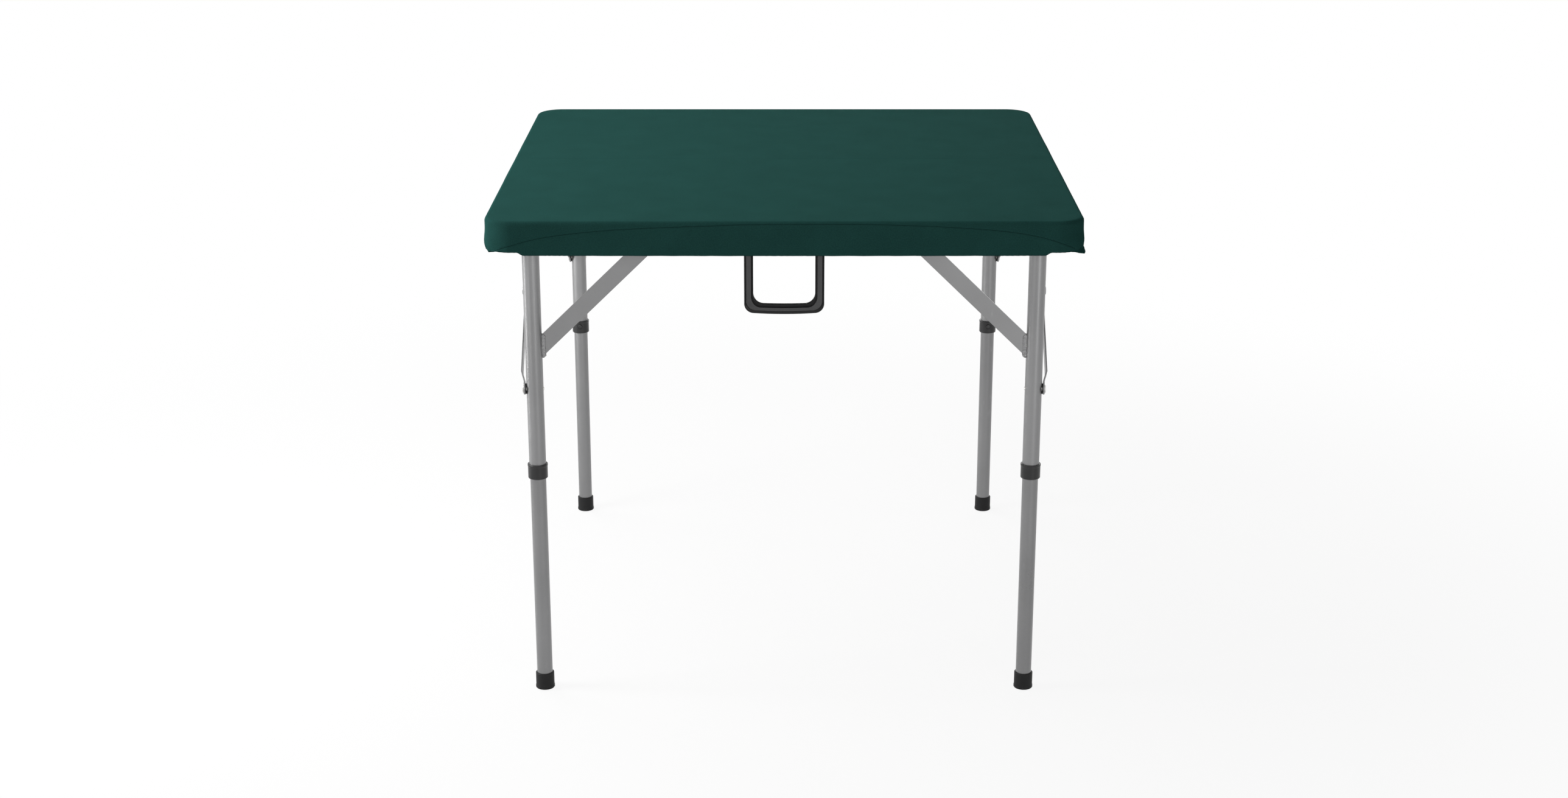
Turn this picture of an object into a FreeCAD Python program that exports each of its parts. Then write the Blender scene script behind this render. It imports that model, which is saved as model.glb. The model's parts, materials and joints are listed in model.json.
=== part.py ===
"""Folding card table: a fold-in-half top on two folding leg frames, in millimetres.

The origin is on the floor below the middle of the top. +X is to the right, +Y to the rear and +Z up.
The top folds along the X axis. What repeats is modelled once, at the front right, and mirrored.
"""

import FreeCAD, Part
import math
import os

V = FreeCAD.Vector
ORIGIN, X_AXIS, Y_AXIS, Z_AXIS = V(0, 0, 0), V(1, 0, 0), V(0, 1, 0), V(0, 0, 1)

# --- driving dimensions ---------------------------------------------------------------------------
TABLE_HEIGHT = 751.75       # floor to the top of the cover
TOP_WIDTH = 875.0           # both halves together, the same along X and Y
TOP_CORNER_R = 42.0
TOP_EDGE_R = 6.0
CORNER_LIFT = 4.5           # rim and hem, raised at the corners of the top
CORNER_REACH = 51.5         # from the panel's side to where the lift is full

COVER_THICK = 1.2
COVER_GAP = 0.3             # between the cloth and the panels
COVER_SKIRT = 51.75         # from the top of the cover to its hem

PANEL_DEPTH = 48.0          # top skin to the rim's lower edge
SLAB_THICK = 12.25
RIM_THICK = 11.0
FOLD_GAP = 0.6              # between the two halves
FOLD_RIB_DEPTH = 16.0
FOLD_RIB_THICK = 8.0
POCKET_DEPTH = 6.0
POCKET_WALL = 12.0          # between two pockets
POCKET_DRAFT = 3.0
POCKET_COLUMNS, POCKET_ROWS = 9, 5

RAIL_WIDTH = 16.0
RAIL_DEPTH = 34.0
RAIL_THICK = 1.5
RAIL_BEND_R = 2.0           # inside the bend
RAIL_RIM_GAP = 9.9          # rail to the panel's side rim
RAIL_FOLD_GAP = 8.0         # rail end to the fold line
RAIL_RIM_END_GAP = 5.5      # rail end to the front rim
RAIL_END_CUT = 14.0         # corner cut where the rail meets the rim's rounded corner

HINGE_DROP = 0.25           # hinge axis below the rim's lower edge
HINGE_PIN_R = 3.0
HINGE_PIN_PLAY = 0.1
HINGE_EYE_R = 7.5
LEAF_THICK = 2.5
LEAF_LENGTH = 48.0
LEAF_HEIGHT = 22.0
LEAF_NECK = 22.0            # from the eye to the root of the neck
LEAF_FOLD_GAP = 4.5
LEAF_RIVET_R = 2.5
LEAF_RIVET_PITCH = 20.0

UPPER_LEG_OD = 25.5
UPPER_LEG_WALL = 0.6
LEG_PLAY = 0.1              # lower tube inside the upper one, on the radius
LOWER_LEG_WALL = 0.9
LEG_HEAD = 12.5             # leg pivot to the top of its cap
LEG_CAP_THICK = 1.0
LEG_CAP_PLUG = 1.6
LEG_TO_RIM = 7.6            # leg head to the rim as it swings
LEG_TO_SLAB = 1.15          # leg head to the slab as it swings
CROSSBAR_OD = 19.0
CROSSBAR_WALL = 1.2
CROSSBAR_END = 2.5          # past the rail's web
BUSH_PLAY = 0.15
BUSH_WALL = 1.25
BUSH_FLANGE = 3.0
BUSH_LIP = 0.7

COLLAR_DROP = 372.0         # its lower end, below the leg pivot
COLLAR_HEIGHT = 22.5
COLLAR_OD = 29.8
COLLAR_BEAD = 0.4
COLLAR_LIP = 3.0            # below the upper tube's end
COLLAR_PLAY = 0.15          # lip to lower tube
FOOT_HEIGHT = 26.0
FOOT_OD = 29.4
FOOT_TAPER = 0.5
FOOT_FLOOR = 3.0
FOOT_TO_COLLAR = 1.0        # least gap, with the leg pushed in
LEG_TO_CROSSBAR = 3.5       # least gap, lower tube's top to the crossbar
LOWER_LEG_RISE = 26.0       # lower tube's top, above the button

BUTTON_R = 3.9
BUTTON_PLAY = 0.3
BUTTON_RISE = 13.0          # above the collar's bottom
BUTTON_PROUD = 1.0          # past the collar
CLIP_THICK = 0.7
CLIP_WIDTH = 9.0
CLIP_HEIGHT = 50.0

GUSSET_WIDTH = 24.8
GUSSET_THICK = 3.0
GUSSET_ANGLE = 44.1         # degrees above level
GUSSET_DROP = 164.4         # its centre line at the leg, below the leg pivot

STUD_DROP = 231.5           # lower brace pivot, below the leg pivot
BRACE_REACH = 216.0         # upper brace pivot, inward from the leg pivot
LINK_WIDTH = 18.0
LINK_THICK = 2.2
LINK_JOG = 5.0
JOG_START = 9.0             # from the stud, along the link
JOG_LENGTH = 16.0
STACK_PLAY = 0.3            # between washer, links and heads
RAIL_PLAY = 1.5             # middle rivet's head to the rail
BRACE_PIN_R = 4.0
BRACE_PIN_PLAY = 0.1
BRACE_HEAD_R = 7.0
BRACE_HEAD_THICK = 2.0
INNER_HEAD_THICK = 1.5
WASHER_R = 8.0
WASHER_THICK = 1.2
TAIL_R = 3.0
TAIL_PROUD = 0.9

HANDLE_WIDTH = 118.0
HANDLE_ARM = 13.5
HANDLE_DROP = 96.0          # pivot to the underside of the grip
HANDLE_GRIP = 14.5
HANDLE_BOW = 1.5            # grip, down in the middle
HANDLE_THICK = 8.0
HANDLE_RIB_WIDTH = 6.6
HANDLE_RIB_PROUD = 1.3
HANDLE_OUTER_R = 14.0
HANDLE_INNER_R = 16.0
HANDLE_RISE = 1.75          # pivot above the rim's lower edge
KNUCKLE_R = 6.0
KNUCKLE_GAP = 0.8
HANDLE_PIN_R = 3.0
HANDLE_PLAY = 0.1
MOUNT_THICK = 3.0
MOUNT_CHEEK = 6.4
MOUNT_CHEEK_GAP = 0.6
MOUNT_HEIGHT = 14.0
MOUNT_RISE = 8.0            # plate's lower edge above the pivot
MOUNT_SCREW_X = 28.0

SCREW_R = 2.1
SCREW_HEAD_R = 4.0
SCREW_HEAD_THICK = 2.0
SCREW_DEPTH = 8.0
RAIL_SCREW_SHARES = (0.09, 0.36, 0.66, 0.83)   # along the rail, from its fold end

# --- levels and planes worked out from them --------------------------------------------------------
HALF = TOP_WIDTH / 2
PANEL_TOP = TABLE_HEIGHT - COVER_THICK - COVER_GAP
RIM_Z = PANEL_TOP - PANEL_DEPTH
SLAB_Z = PANEL_TOP - SLAB_THICK
HINGE_Z = RIM_Z - HINGE_DROP
RIM_INNER = HALF - RIM_THICK

LINK_IN = WASHER_THICK + STACK_PLAY            # from the leg tube's outer side
LINK_OUT = LINK_IN + LINK_JOG
UPPER_LINK_IN = LINK_OUT + LINK_THICK + STACK_PLAY
BRACE_ROOM = UPPER_LINK_IN + LINK_THICK + BRACE_HEAD_THICK + RAIL_PLAY

RAIL_OUTER_X = RIM_INNER - RAIL_RIM_GAP
RAIL_X = RAIL_OUTER_X - RAIL_WIDTH             # inner face
RAIL_Z = SLAB_Z - RAIL_DEPTH
RAIL_FRONT_Y = -RIM_INNER + RAIL_RIM_END_GAP
RAIL_REAR_Y = -RAIL_FOLD_GAP
LEAF_X = RAIL_X + RAIL_THICK                   # front leaf's inner face
LEAF_STEP = LEAF_THICK + STACK_PLAY            # rear leaf's eye, out from the front one

UPPER_LEG_R = UPPER_LEG_OD / 2
LOWER_LEG_R = UPPER_LEG_R - UPPER_LEG_WALL - LEG_PLAY
CROSSBAR_R = CROSSBAR_OD / 2
LEG_OUTER_X = RAIL_X - BRACE_ROOM
LEG_X = LEG_OUTER_X - UPPER_LEG_R
HEAD_SWING_R = math.hypot(UPPER_LEG_R, LEG_HEAD)
LEG_Y = -RIM_INNER + LEG_TO_RIM + HEAD_SWING_R
PIVOT_Z = SLAB_Z - LEG_TO_SLAB - HEAD_SWING_R
LEG_TUBE_TOP = PIVOT_Z + LEG_HEAD - LEG_CAP_THICK

COLLAR_BOTTOM = PIVOT_Z - COLLAR_DROP
BUTTON_Z = COLLAR_BOTTOM + BUTTON_RISE
LOWER_TOP = BUTTON_Z + LOWER_LEG_RISE
TRAVEL_TO_FOOT = COLLAR_BOTTOM - FOOT_HEIGHT - FOOT_TO_COLLAR
TRAVEL_TO_CROSSBAR = PIVOT_Z - CROSSBAR_R - LEG_TO_CROSSBAR - LOWER_TOP
LEG_TRAVEL = min(TRAVEL_TO_FOOT, TRAVEL_TO_CROSSBAR)

STUD_Z = PIVOT_Z - STUD_DROP
BRACE_Y = LEG_Y + BRACE_REACH
BRACE_SPAN = math.hypot(BRACE_REACH, STUD_DROP)
LOWER_LINK = (BRACE_SPAN + STUD_DROP - BRACE_REACH) / 2   # so that the brace folds flat
UPPER_LINK = BRACE_SPAN - LOWER_LINK
BRACE_ANGLE = math.degrees(math.atan2(STUD_DROP, BRACE_REACH))
MID_Y = LEG_Y + LOWER_LINK * BRACE_REACH / BRACE_SPAN
MID_Z = STUD_Z + LOWER_LINK * STUD_DROP / BRACE_SPAN

HANDLE_Y = -RIM_INNER + MOUNT_THICK + KNUCKLE_GAP + KNUCKLE_R
HANDLE_Z = RIM_Z + HANDLE_RISE
MOUNT_Z = HANDLE_Z + MOUNT_RISE


# --- shapes ---------------------------------------------------------------------------------------
def box(x0, x1, y0, y1, z0, z1):
    return Part.makeBox(x1 - x0, y1 - y0, z1 - z0, V(x0, y0, z0))


def rod(radius, start, axis, length):
    return Part.makeCylinder(radius, length, start, axis)


def tube(outer_r, wall, start, axis, length):
    return rod(outer_r, start, axis, length).cut(rod(outer_r - wall, start, axis, length))


def turned(outline, start, axis):
    """Revolves a closed outline of (radius, height) points about an axis from start."""
    points = [V(radius, 0, height) for radius, height in outline]
    solid = Part.Face(Part.makePolygon(points + points[:1])).revolve(ORIGIN, Z_AXIS, 360)
    solid.Placement = FreeCAD.Placement(start, FreeCAD.Rotation(Z_AXIS, axis))
    return solid


def prism_x(outline, x0, x1):
    """Extrudes a closed outline of (y, z) points from x0 to x1."""
    points = [V(x0, y, z) for y, z in outline]
    return Part.Face(Part.makePolygon(points + points[:1])).extrude(V(x1 - x0, 0, 0))


def slot_x(start, end, radius, x0, x1):
    """A bar with round ends, from one (y, z) point to another, between two planes of X."""
    (y0, z0), (y1, z1) = start, end
    length = math.hypot(y1 - y0, z1 - z0)
    middle = box(x0, x1, 0, length, -radius, radius)
    bar = middle.fuse([rod(radius, V(x0, y, 0), X_AXIS, x1 - x0) for y in (0, length)])
    bar.rotate(ORIGIN, X_AXIS, math.degrees(math.atan2(z1 - z0, y1 - y0)))
    bar.translate(V(0, y0, z0))
    return bar.removeSplitter()


def round_plan(half_x, y0, y1, radius, rear_round, z0, z1):
    """A block with rounded front corners in plan, and rounded rear ones too if asked."""
    block = box(-half_x, half_x, y0, y1, z0, z1)
    ys = (y0, y1) if rear_round else (y0,)
    corners = [
        e
        for e in block.Edges
        if abs(e.tangentAt(e.FirstParameter).z) > 0.5 and min(abs(e.Vertexes[0].Y - y) for y in ys) < 1e-6
    ]
    return block.makeFillet(radius, corners)


def round_top(block, radius, skip_y=None):
    """Rounds the upper edge all round, except along the plane y = skip_y."""
    top = block.BoundBox.ZMax

    def is_rim(edge):
        if any(abs(v.Z - top) > 1e-6 for v in edge.Vertexes):
            return False
        return skip_y is None or any(abs(v.Y - skip_y) > 1e-6 for v in edge.Vertexes)

    return block.makeFillet(radius, [e for e in block.Edges if is_rim(e)])


def flip_x(shape):
    return shape.mirror(ORIGIN, X_AXIS)


def flip_y(shape):
    return shape.mirror(ORIGIN, Y_AXIS)


def both_sides(shapes):
    return shapes + [flip_x(s) for s in shapes]


# --- tabletop -------------------------------------------------------------------------------------
def corner_lift(edge_z):
    """A cutter that raises a lower edge at the top's front right corner, with sloping ends."""
    outer = HALF + 2 * (COVER_GAP + COVER_THICK)
    full = HALF - CORNER_REACH
    low, high = edge_z - CORNER_LIFT, edge_z + CORNER_LIFT
    slope = [(-outer, low), (-outer, high), (-full, high), (-full + high - low, low)]
    front = prism_x(slope, -outer, outer)
    right = front.copy()
    right.rotate(ORIGIN, Z_AXIS, 90)
    return front.common(right)


def table_cover():
    """A thin cloth shell, closed above and open below, over both halves."""
    inner_half = HALF + COVER_GAP
    outer_half = inner_half + COVER_THICK
    hem_z = TABLE_HEIGHT - COVER_SKIRT
    inner_r = TOP_CORNER_R + COVER_GAP
    outer = round_plan(
        outer_half, -outer_half, outer_half, inner_r + COVER_THICK, True, hem_z, TABLE_HEIGHT
    )
    inner = round_plan(
        inner_half, -inner_half, inner_half, inner_r, True, hem_z - COVER_THICK, TABLE_HEIGHT - COVER_THICK
    )
    edge_r = TOP_EDGE_R + COVER_GAP
    lifts = both_sides([corner_lift(hem_z)])
    cutters = [round_top(inner, edge_r)] + lifts + [flip_y(lift) for lift in lifts]
    return round_top(outer, edge_r + COVER_THICK).cut(cutters)


def pocket(x0, x1, y0, y1):
    """A tapered pocket, cut up into the slab's underside."""

    def rectangle(inset, z):
        left, right, front, rear = x0 + inset, x1 - inset, y0 + inset, y1 - inset
        corners = [V(left, front, z), V(right, front, z), V(right, rear, z), V(left, rear, z)]
        return Part.makePolygon(corners + corners[:1])

    return Part.makeLoft([rectangle(0, SLAB_Z), rectangle(POCKET_DRAFT, SLAB_Z + POCKET_DEPTH)], True)


def pockets():
    x_end = RAIL_X - POCKET_WALL
    y_start = -RIM_INNER + POCKET_WALL
    y_end = -FOLD_GAP / 2 - FOLD_RIB_THICK - POCKET_WALL
    pitch_x = (2 * x_end + POCKET_WALL) / POCKET_COLUMNS
    pitch_y = (y_end - y_start + POCKET_WALL) / POCKET_ROWS
    cells = []
    for column in range(POCKET_COLUMNS):
        x = -x_end + column * pitch_x
        for row in range(POCKET_ROWS):
            y = y_start + row * pitch_y
            cells.append(pocket(x, x + pitch_x - POCKET_WALL, y, y + pitch_y - POCKET_WALL))
    return cells


def half_panel(screws):
    """The front half: a slab with a skirt rim on three sides and a rib at the fold."""
    fold_y = -FOLD_GAP / 2
    block = round_plan(HALF, -HALF, fold_y, TOP_CORNER_R, False, RIM_Z, PANEL_TOP)
    block = round_top(block, TOP_EDGE_R, fold_y)
    recess = round_plan(RIM_INNER, -RIM_INNER, 0, TOP_CORNER_R - RIM_THICK, False, RIM_Z - 1, SLAB_Z)
    rib_half = LEG_X - FOOT_OD / 2 - FOLD_RIB_THICK
    rib = box(-rib_half, rib_half, fold_y - FOLD_RIB_THICK, fold_y, SLAB_Z - FOLD_RIB_DEPTH, SLAB_Z)
    cutters = pockets() + both_sides([corner_lift(RIM_Z)]) + screws
    return block.cut(recess).fuse(rib).removeSplitter().cut(cutters)


def rail():
    """Pressed channel under the right side, open downwards, with its front corner cut away."""
    x0, x1 = RAIL_X, RAIL_OUTER_X
    t = RAIL_THICK

    def folded(inset, z_top, radius):
        block = box(x0 + inset, x1 - inset, RAIL_FRONT_Y, RAIL_REAR_Y, RAIL_Z, z_top)
        long_edges = [
            e
            for e in block.Edges
            if abs(e.tangentAt(e.FirstParameter).y) > 0.5 and abs(e.Vertexes[0].Z - z_top) < 1e-6
        ]
        return block.makeFillet(radius, long_edges)

    channel = folded(0, SLAB_Z, RAIL_BEND_R + t).cut(folded(t, SLAB_Z - t, RAIL_BEND_R))
    corner = [
        V(x1 - RAIL_END_CUT, RAIL_FRONT_Y, RAIL_Z),
        V(x1, RAIL_FRONT_Y, RAIL_Z),
        V(x1, RAIL_FRONT_Y + RAIL_END_CUT, RAIL_Z),
    ]
    corner_cut = Part.Face(Part.makePolygon(corner + corner[:1])).extrude(V(0, 0, RAIL_DEPTH))
    holes = [
        rod(CROSSBAR_R + BUSH_PLAY + BUSH_WALL, V(x0 - 1, LEG_Y, PIVOT_Z), X_AXIS, t + 2),
        rod(BRACE_PIN_R, V(x0 - 1, BRACE_Y, PIVOT_Z), X_AXIS, t + 2),
    ]
    return channel.cut([corner_cut] + holes + leaf_rivets(-1) + rail_screws())


# --- fold-line hinges -----------------------------------------------------------------------------
LEAF_TOP = SLAB_Z - RAIL_THICK - RAIL_BEND_R
LEAF_RIVET_Y = LEAF_FOLD_GAP + LEAF_LENGTH - HINGE_EYE_R
LEAF_RIVET_Z = LEAF_TOP - LEAF_HEIGHT / 2


def leaf_rivets(side):
    """The two rivets of one leaf, with side -1 for the front leaf and 1 for the rear."""
    head = LEAF_RIVET_R + 2
    outline = [
        (0, 0), (head - 0.6, 0), (head, INNER_HEAD_THICK), (LEAF_RIVET_R, INNER_HEAD_THICK),
        (LEAF_RIVET_R, INNER_HEAD_THICK + RAIL_THICK + LEAF_THICK),
        (head, INNER_HEAD_THICK + RAIL_THICK + LEAF_THICK),
        (head - 0.6, 2 * INNER_HEAD_THICK + RAIL_THICK + LEAF_THICK),
        (0, 2 * INNER_HEAD_THICK + RAIL_THICK + LEAF_THICK),
    ]
    ys = [side * (LEAF_RIVET_Y - step * LEAF_RIVET_PITCH) for step in range(2)]
    return [turned(outline, V(RAIL_X - INNER_HEAD_THICK, y, LEAF_RIVET_Z), X_AXIS) for y in ys]


def leaf_outline(side, x0, x1):
    """A leaf seen from the side: a plate on the rail, with a neck down to the eye."""
    y_in, y_out = sorted((side * LEAF_FOLD_GAP, side * (LEAF_FOLD_GAP + LEAF_LENGTH)))
    plate = box(x0, x1, y_in, y_out, LEAF_TOP - LEAF_HEIGHT, LEAF_TOP)
    lean = math.radians(56)
    root = (side * LEAF_NECK * math.cos(lean), HINGE_Z + LEAF_NECK * math.sin(lean))
    return plate.fuse(slot_x((0, HINGE_Z), root, HINGE_EYE_R, x0, x1)).removeSplitter()


def front_leaf():
    pin_hole = rod(HINGE_PIN_R, V(LEAF_X, 0, HINGE_Z), X_AXIS, LEAF_THICK)
    return leaf_outline(-1, LEAF_X, LEAF_X + LEAF_THICK).cut([pin_hole] + leaf_rivets(-1))


def rear_leaf():
    """Steps outward between the plate and the eye, so that the eye passes outside the front one."""
    x0, x1 = LEAF_X, LEAF_X + LEAF_THICK
    eye_end = HINGE_EYE_R + 8
    plate_start = eye_end + 2 * LEAF_STEP
    plate_end = LEAF_FOLD_GAP + LEAF_LENGTH + 1
    steps = [
        (-HINGE_EYE_R - 1, LEAF_STEP), (eye_end, LEAF_STEP), (plate_start, 0), (plate_end, 0),
    ]
    inner = [V(x0 + step, y, 0) for y, step in steps]
    outer = [V(x1 + step, y, 0) for y, step in reversed(steps)]
    strip = Part.Face(Part.makePolygon(inner + outer + inner[:1])).extrude(V(0, 0, TABLE_HEIGHT))
    leaf = strip.common(leaf_outline(1, x0, x1 + LEAF_STEP))
    pin_hole = rod(HINGE_PIN_R + HINGE_PIN_PLAY, V(x0, 0, HINGE_Z), X_AXIS, 2 * LEAF_THICK + LEAF_STEP)
    return leaf.cut([pin_hole] + leaf_rivets(1))


def hinge_pin():
    head_r = HINGE_PIN_R + 2
    grip = LEAF_STEP + LEAF_THICK + STACK_PLAY
    outline = [
        (0, 0), (head_r - 0.5, 0), (head_r, 0.5), (head_r, INNER_HEAD_THICK),
        (HINGE_PIN_R, INNER_HEAD_THICK), (HINGE_PIN_R, INNER_HEAD_THICK + grip),
        (head_r, INNER_HEAD_THICK + grip), (head_r, 2 * INNER_HEAD_THICK + grip - 0.5),
        (head_r - 0.5, 2 * INNER_HEAD_THICK + grip), (0, 2 * INNER_HEAD_THICK + grip),
    ]
    return turned(outline, V(LEAF_X - INNER_HEAD_THICK, 0, HINGE_Z), X_AXIS)


# --- fasteners and bushes -------------------------------------------------------------------------
def screw(start, axis):
    """A pan-head screw with its head's seat at start, driven along axis."""
    outline = [
        (0, -SCREW_HEAD_THICK), (SCREW_HEAD_R - 1, -SCREW_HEAD_THICK), (SCREW_HEAD_R, -SCREW_HEAD_THICK / 2),
        (SCREW_HEAD_R, 0), (SCREW_R, 0), (SCREW_R, SCREW_DEPTH - SCREW_R), (0, SCREW_DEPTH),
    ]
    return turned(outline, start, axis)


def rail_screws():
    x = (RAIL_X + RAIL_OUTER_X) / 2
    length = RAIL_REAR_Y - RAIL_FRONT_Y
    ys = [RAIL_REAR_Y - share * length for share in RAIL_SCREW_SHARES]
    return [screw(V(x, y, SLAB_Z - RAIL_THICK), Z_AXIS) for y in ys]


def mount_screws():
    z = MOUNT_Z + MOUNT_HEIGHT / 2
    return [screw(V(x, -RIM_INNER + MOUNT_THICK, z), -Y_AXIS) for x in (-MOUNT_SCREW_X, MOUNT_SCREW_X)]


def pivot_bush():
    """Turned bearing of the crossbar in the rail, with a long nose that spaces the leg."""
    bore = CROSSBAR_R + BUSH_PLAY
    neck = bore + BUSH_WALL
    nose = BRACE_ROOM - STACK_PLAY
    outline = [
        (bore, 0), (bore + BUSH_FLANGE, 0), (bore + BUSH_FLANGE, nose), (neck, nose),
        (neck, nose + RAIL_THICK), (neck + BUSH_LIP, nose + RAIL_THICK),
        (neck, nose + RAIL_THICK + 1.2), (bore, nose + RAIL_THICK + 1.2),
    ]
    return turned(outline, V(LEG_OUTER_X + STACK_PLAY, LEG_Y, PIVOT_Z), X_AXIS)


def brace_rivet():
    """Shoulder rivet on the rail, flush on the link's inner side so that the folded link passes it."""
    x_link = LEG_OUTER_X + UPPER_LINK_IN
    link, shoulder = LINK_THICK, RAIL_X - x_link
    outline = [
        (0, 0), (BRACE_PIN_R, 0), (BRACE_PIN_R, link + BRACE_PIN_PLAY), (BRACE_HEAD_R, link + BRACE_PIN_PLAY),
        (BRACE_HEAD_R, shoulder), (BRACE_PIN_R, shoulder), (BRACE_PIN_R, shoulder + RAIL_THICK),
        (BRACE_HEAD_R, shoulder + RAIL_THICK), (BRACE_HEAD_R - 1, shoulder + RAIL_THICK + BRACE_HEAD_THICK),
        (0, shoulder + RAIL_THICK + BRACE_HEAD_THICK),
    ]
    return turned(outline, V(x_link, BRACE_Y, PIVOT_Z), X_AXIS)


# --- leg frame ------------------------------------------------------------------------------------
def leg_rod(radius, z0, z1):
    return rod(radius, V(LEG_X, LEG_Y, z0), Z_AXIS, z1 - z0)


def button_hole(z):
    """A cutter for the hole in the inward side of the tubes at one height."""
    return rod(BUTTON_R + BUTTON_PLAY, V(LEG_X, LEG_Y, z), Y_AXIS, COLLAR_OD)


def upper_leg():
    bottom = COLLAR_BOTTOM + COLLAR_LIP
    leg = leg_rod(UPPER_LEG_R, bottom, LEG_TUBE_TOP).cut(
        leg_rod(UPPER_LEG_R - UPPER_LEG_WALL, bottom, LEG_TUBE_TOP)
    )
    bar_hole = rod(CROSSBAR_R, V(LEG_X - UPPER_LEG_OD, LEG_Y, PIVOT_Z), X_AXIS, 2 * UPPER_LEG_OD)
    return leg.cut([bar_hole, button_hole(BUTTON_Z), button_hole(BUTTON_Z + LEG_TRAVEL)])


def leg_cap():
    inner_r = UPPER_LEG_R - UPPER_LEG_WALL
    outline = [
        (0, -LEG_CAP_PLUG), (inner_r, -LEG_CAP_PLUG), (inner_r, 0), (UPPER_LEG_R, 0),
        (UPPER_LEG_R - LEG_CAP_THICK, LEG_CAP_THICK), (0, LEG_CAP_THICK),
    ]
    return turned(outline, V(LEG_X, LEG_Y, LEG_TUBE_TOP), Z_AXIS)


def crossbar():
    length = 2 * (RAIL_X + RAIL_THICK + CROSSBAR_END)
    return tube(CROSSBAR_R, CROSSBAR_WALL, V(-length / 2, LEG_Y, PIVOT_Z), X_AXIS, length)


def gusset():
    """Flat diagonal bar from the leg up to the crossbar, coped to both tubes."""
    slope = math.radians(GUSSET_ANGLE)
    reach = GUSSET_DROP / math.sin(slope)
    bar = box(
        -GUSSET_WIDTH, reach + GUSSET_WIDTH, -GUSSET_THICK / 2, GUSSET_THICK / 2,
        -GUSSET_WIDTH / 2, GUSSET_WIDTH / 2,
    )
    bar.rotate(ORIGIN, Y_AXIS, 180 + GUSSET_ANGLE)
    bar.translate(V(LEG_X - UPPER_LEG_R, LEG_Y, PIVOT_Z - GUSSET_DROP))
    corner = box(0, LEG_X, LEG_Y - GUSSET_THICK, LEG_Y + GUSSET_THICK, 0, PIVOT_Z)
    bar_rod = rod(CROSSBAR_R, V(0, LEG_Y, PIVOT_Z), X_AXIS, LEG_X)
    return bar.common(corner).cut([leg_rod(UPPER_LEG_R, 0, PIVOT_Z), bar_rod])


def collar():
    outer, bead = COLLAR_OD / 2, COLLAR_OD / 2 + COLLAR_BEAD
    lip = LOWER_LEG_R + COLLAR_PLAY
    top = COLLAR_HEIGHT
    outline = [
        (lip, 0), (outer - 0.6, 0), (outer, 0.8), (outer, top - 4), (bead, top - 3.2), (bead, top - 0.8),
        (bead - 0.6, top), (UPPER_LEG_R, top), (UPPER_LEG_R, COLLAR_LIP), (lip, COLLAR_LIP),
    ]
    return turned(outline, V(LEG_X, LEG_Y, COLLAR_BOTTOM), Z_AXIS).cut(button_hole(BUTTON_Z))


def leg_stud():
    """The lower brace pivot on the tube's outer side, and its tail on the inner side."""
    seat = LEG_X + UPPER_LEG_R - LINK_IN
    head = 2 * LINK_IN + LINK_THICK + STACK_PLAY
    outline = [
        (0, 0), (BRACE_PIN_R, 0), (BRACE_PIN_R, head), (BRACE_HEAD_R, head),
        (BRACE_HEAD_R - 0.6, head + INNER_HEAD_THICK), (0, head + INNER_HEAD_THICK),
    ]
    stud = turned(outline, V(seat, LEG_Y, STUD_Z), X_AXIS)
    tail = turned(
        [(0, 0), (TAIL_R - 0.8, 0), (TAIL_R, TAIL_PROUD), (TAIL_R, UPPER_LEG_R), (0, UPPER_LEG_R)],
        V(LEG_X - UPPER_LEG_R - TAIL_PROUD, LEG_Y, STUD_Z),
        X_AXIS,
    )
    leg = leg_rod(UPPER_LEG_R, STUD_Z - UPPER_LEG_OD, STUD_Z + UPPER_LEG_OD)
    return [stud.cut(leg), tail.cut(leg)]


def leg_washer():
    return tube(WASHER_R, WASHER_R - BRACE_PIN_R, V(LEG_OUTER_X, LEG_Y, STUD_Z), X_AXIS, WASHER_THICK)


# --- telescoping leg ------------------------------------------------------------------------------
def lower_leg():
    leg = leg_rod(LOWER_LEG_R, FOOT_FLOOR, LOWER_TOP).cut(
        leg_rod(LOWER_LEG_R - LOWER_LEG_WALL, FOOT_FLOOR, LOWER_TOP)
    )
    return leg.cut(button_hole(BUTTON_Z))


def foot():
    outer = FOOT_OD / 2
    outline = [
        (0, 0), (outer - 0.8, 0), (outer, 1), (outer, 4), (outer - FOOT_TAPER, 6),
        (outer - FOOT_TAPER, FOOT_HEIGHT - 1), (outer - FOOT_TAPER - 0.8, FOOT_HEIGHT),
        (LOWER_LEG_R, FOOT_HEIGHT), (LOWER_LEG_R, FOOT_FLOOR), (0, FOOT_FLOOR),
    ]
    return turned(outline, V(LEG_X, LEG_Y, 0), Z_AXIS)


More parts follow.
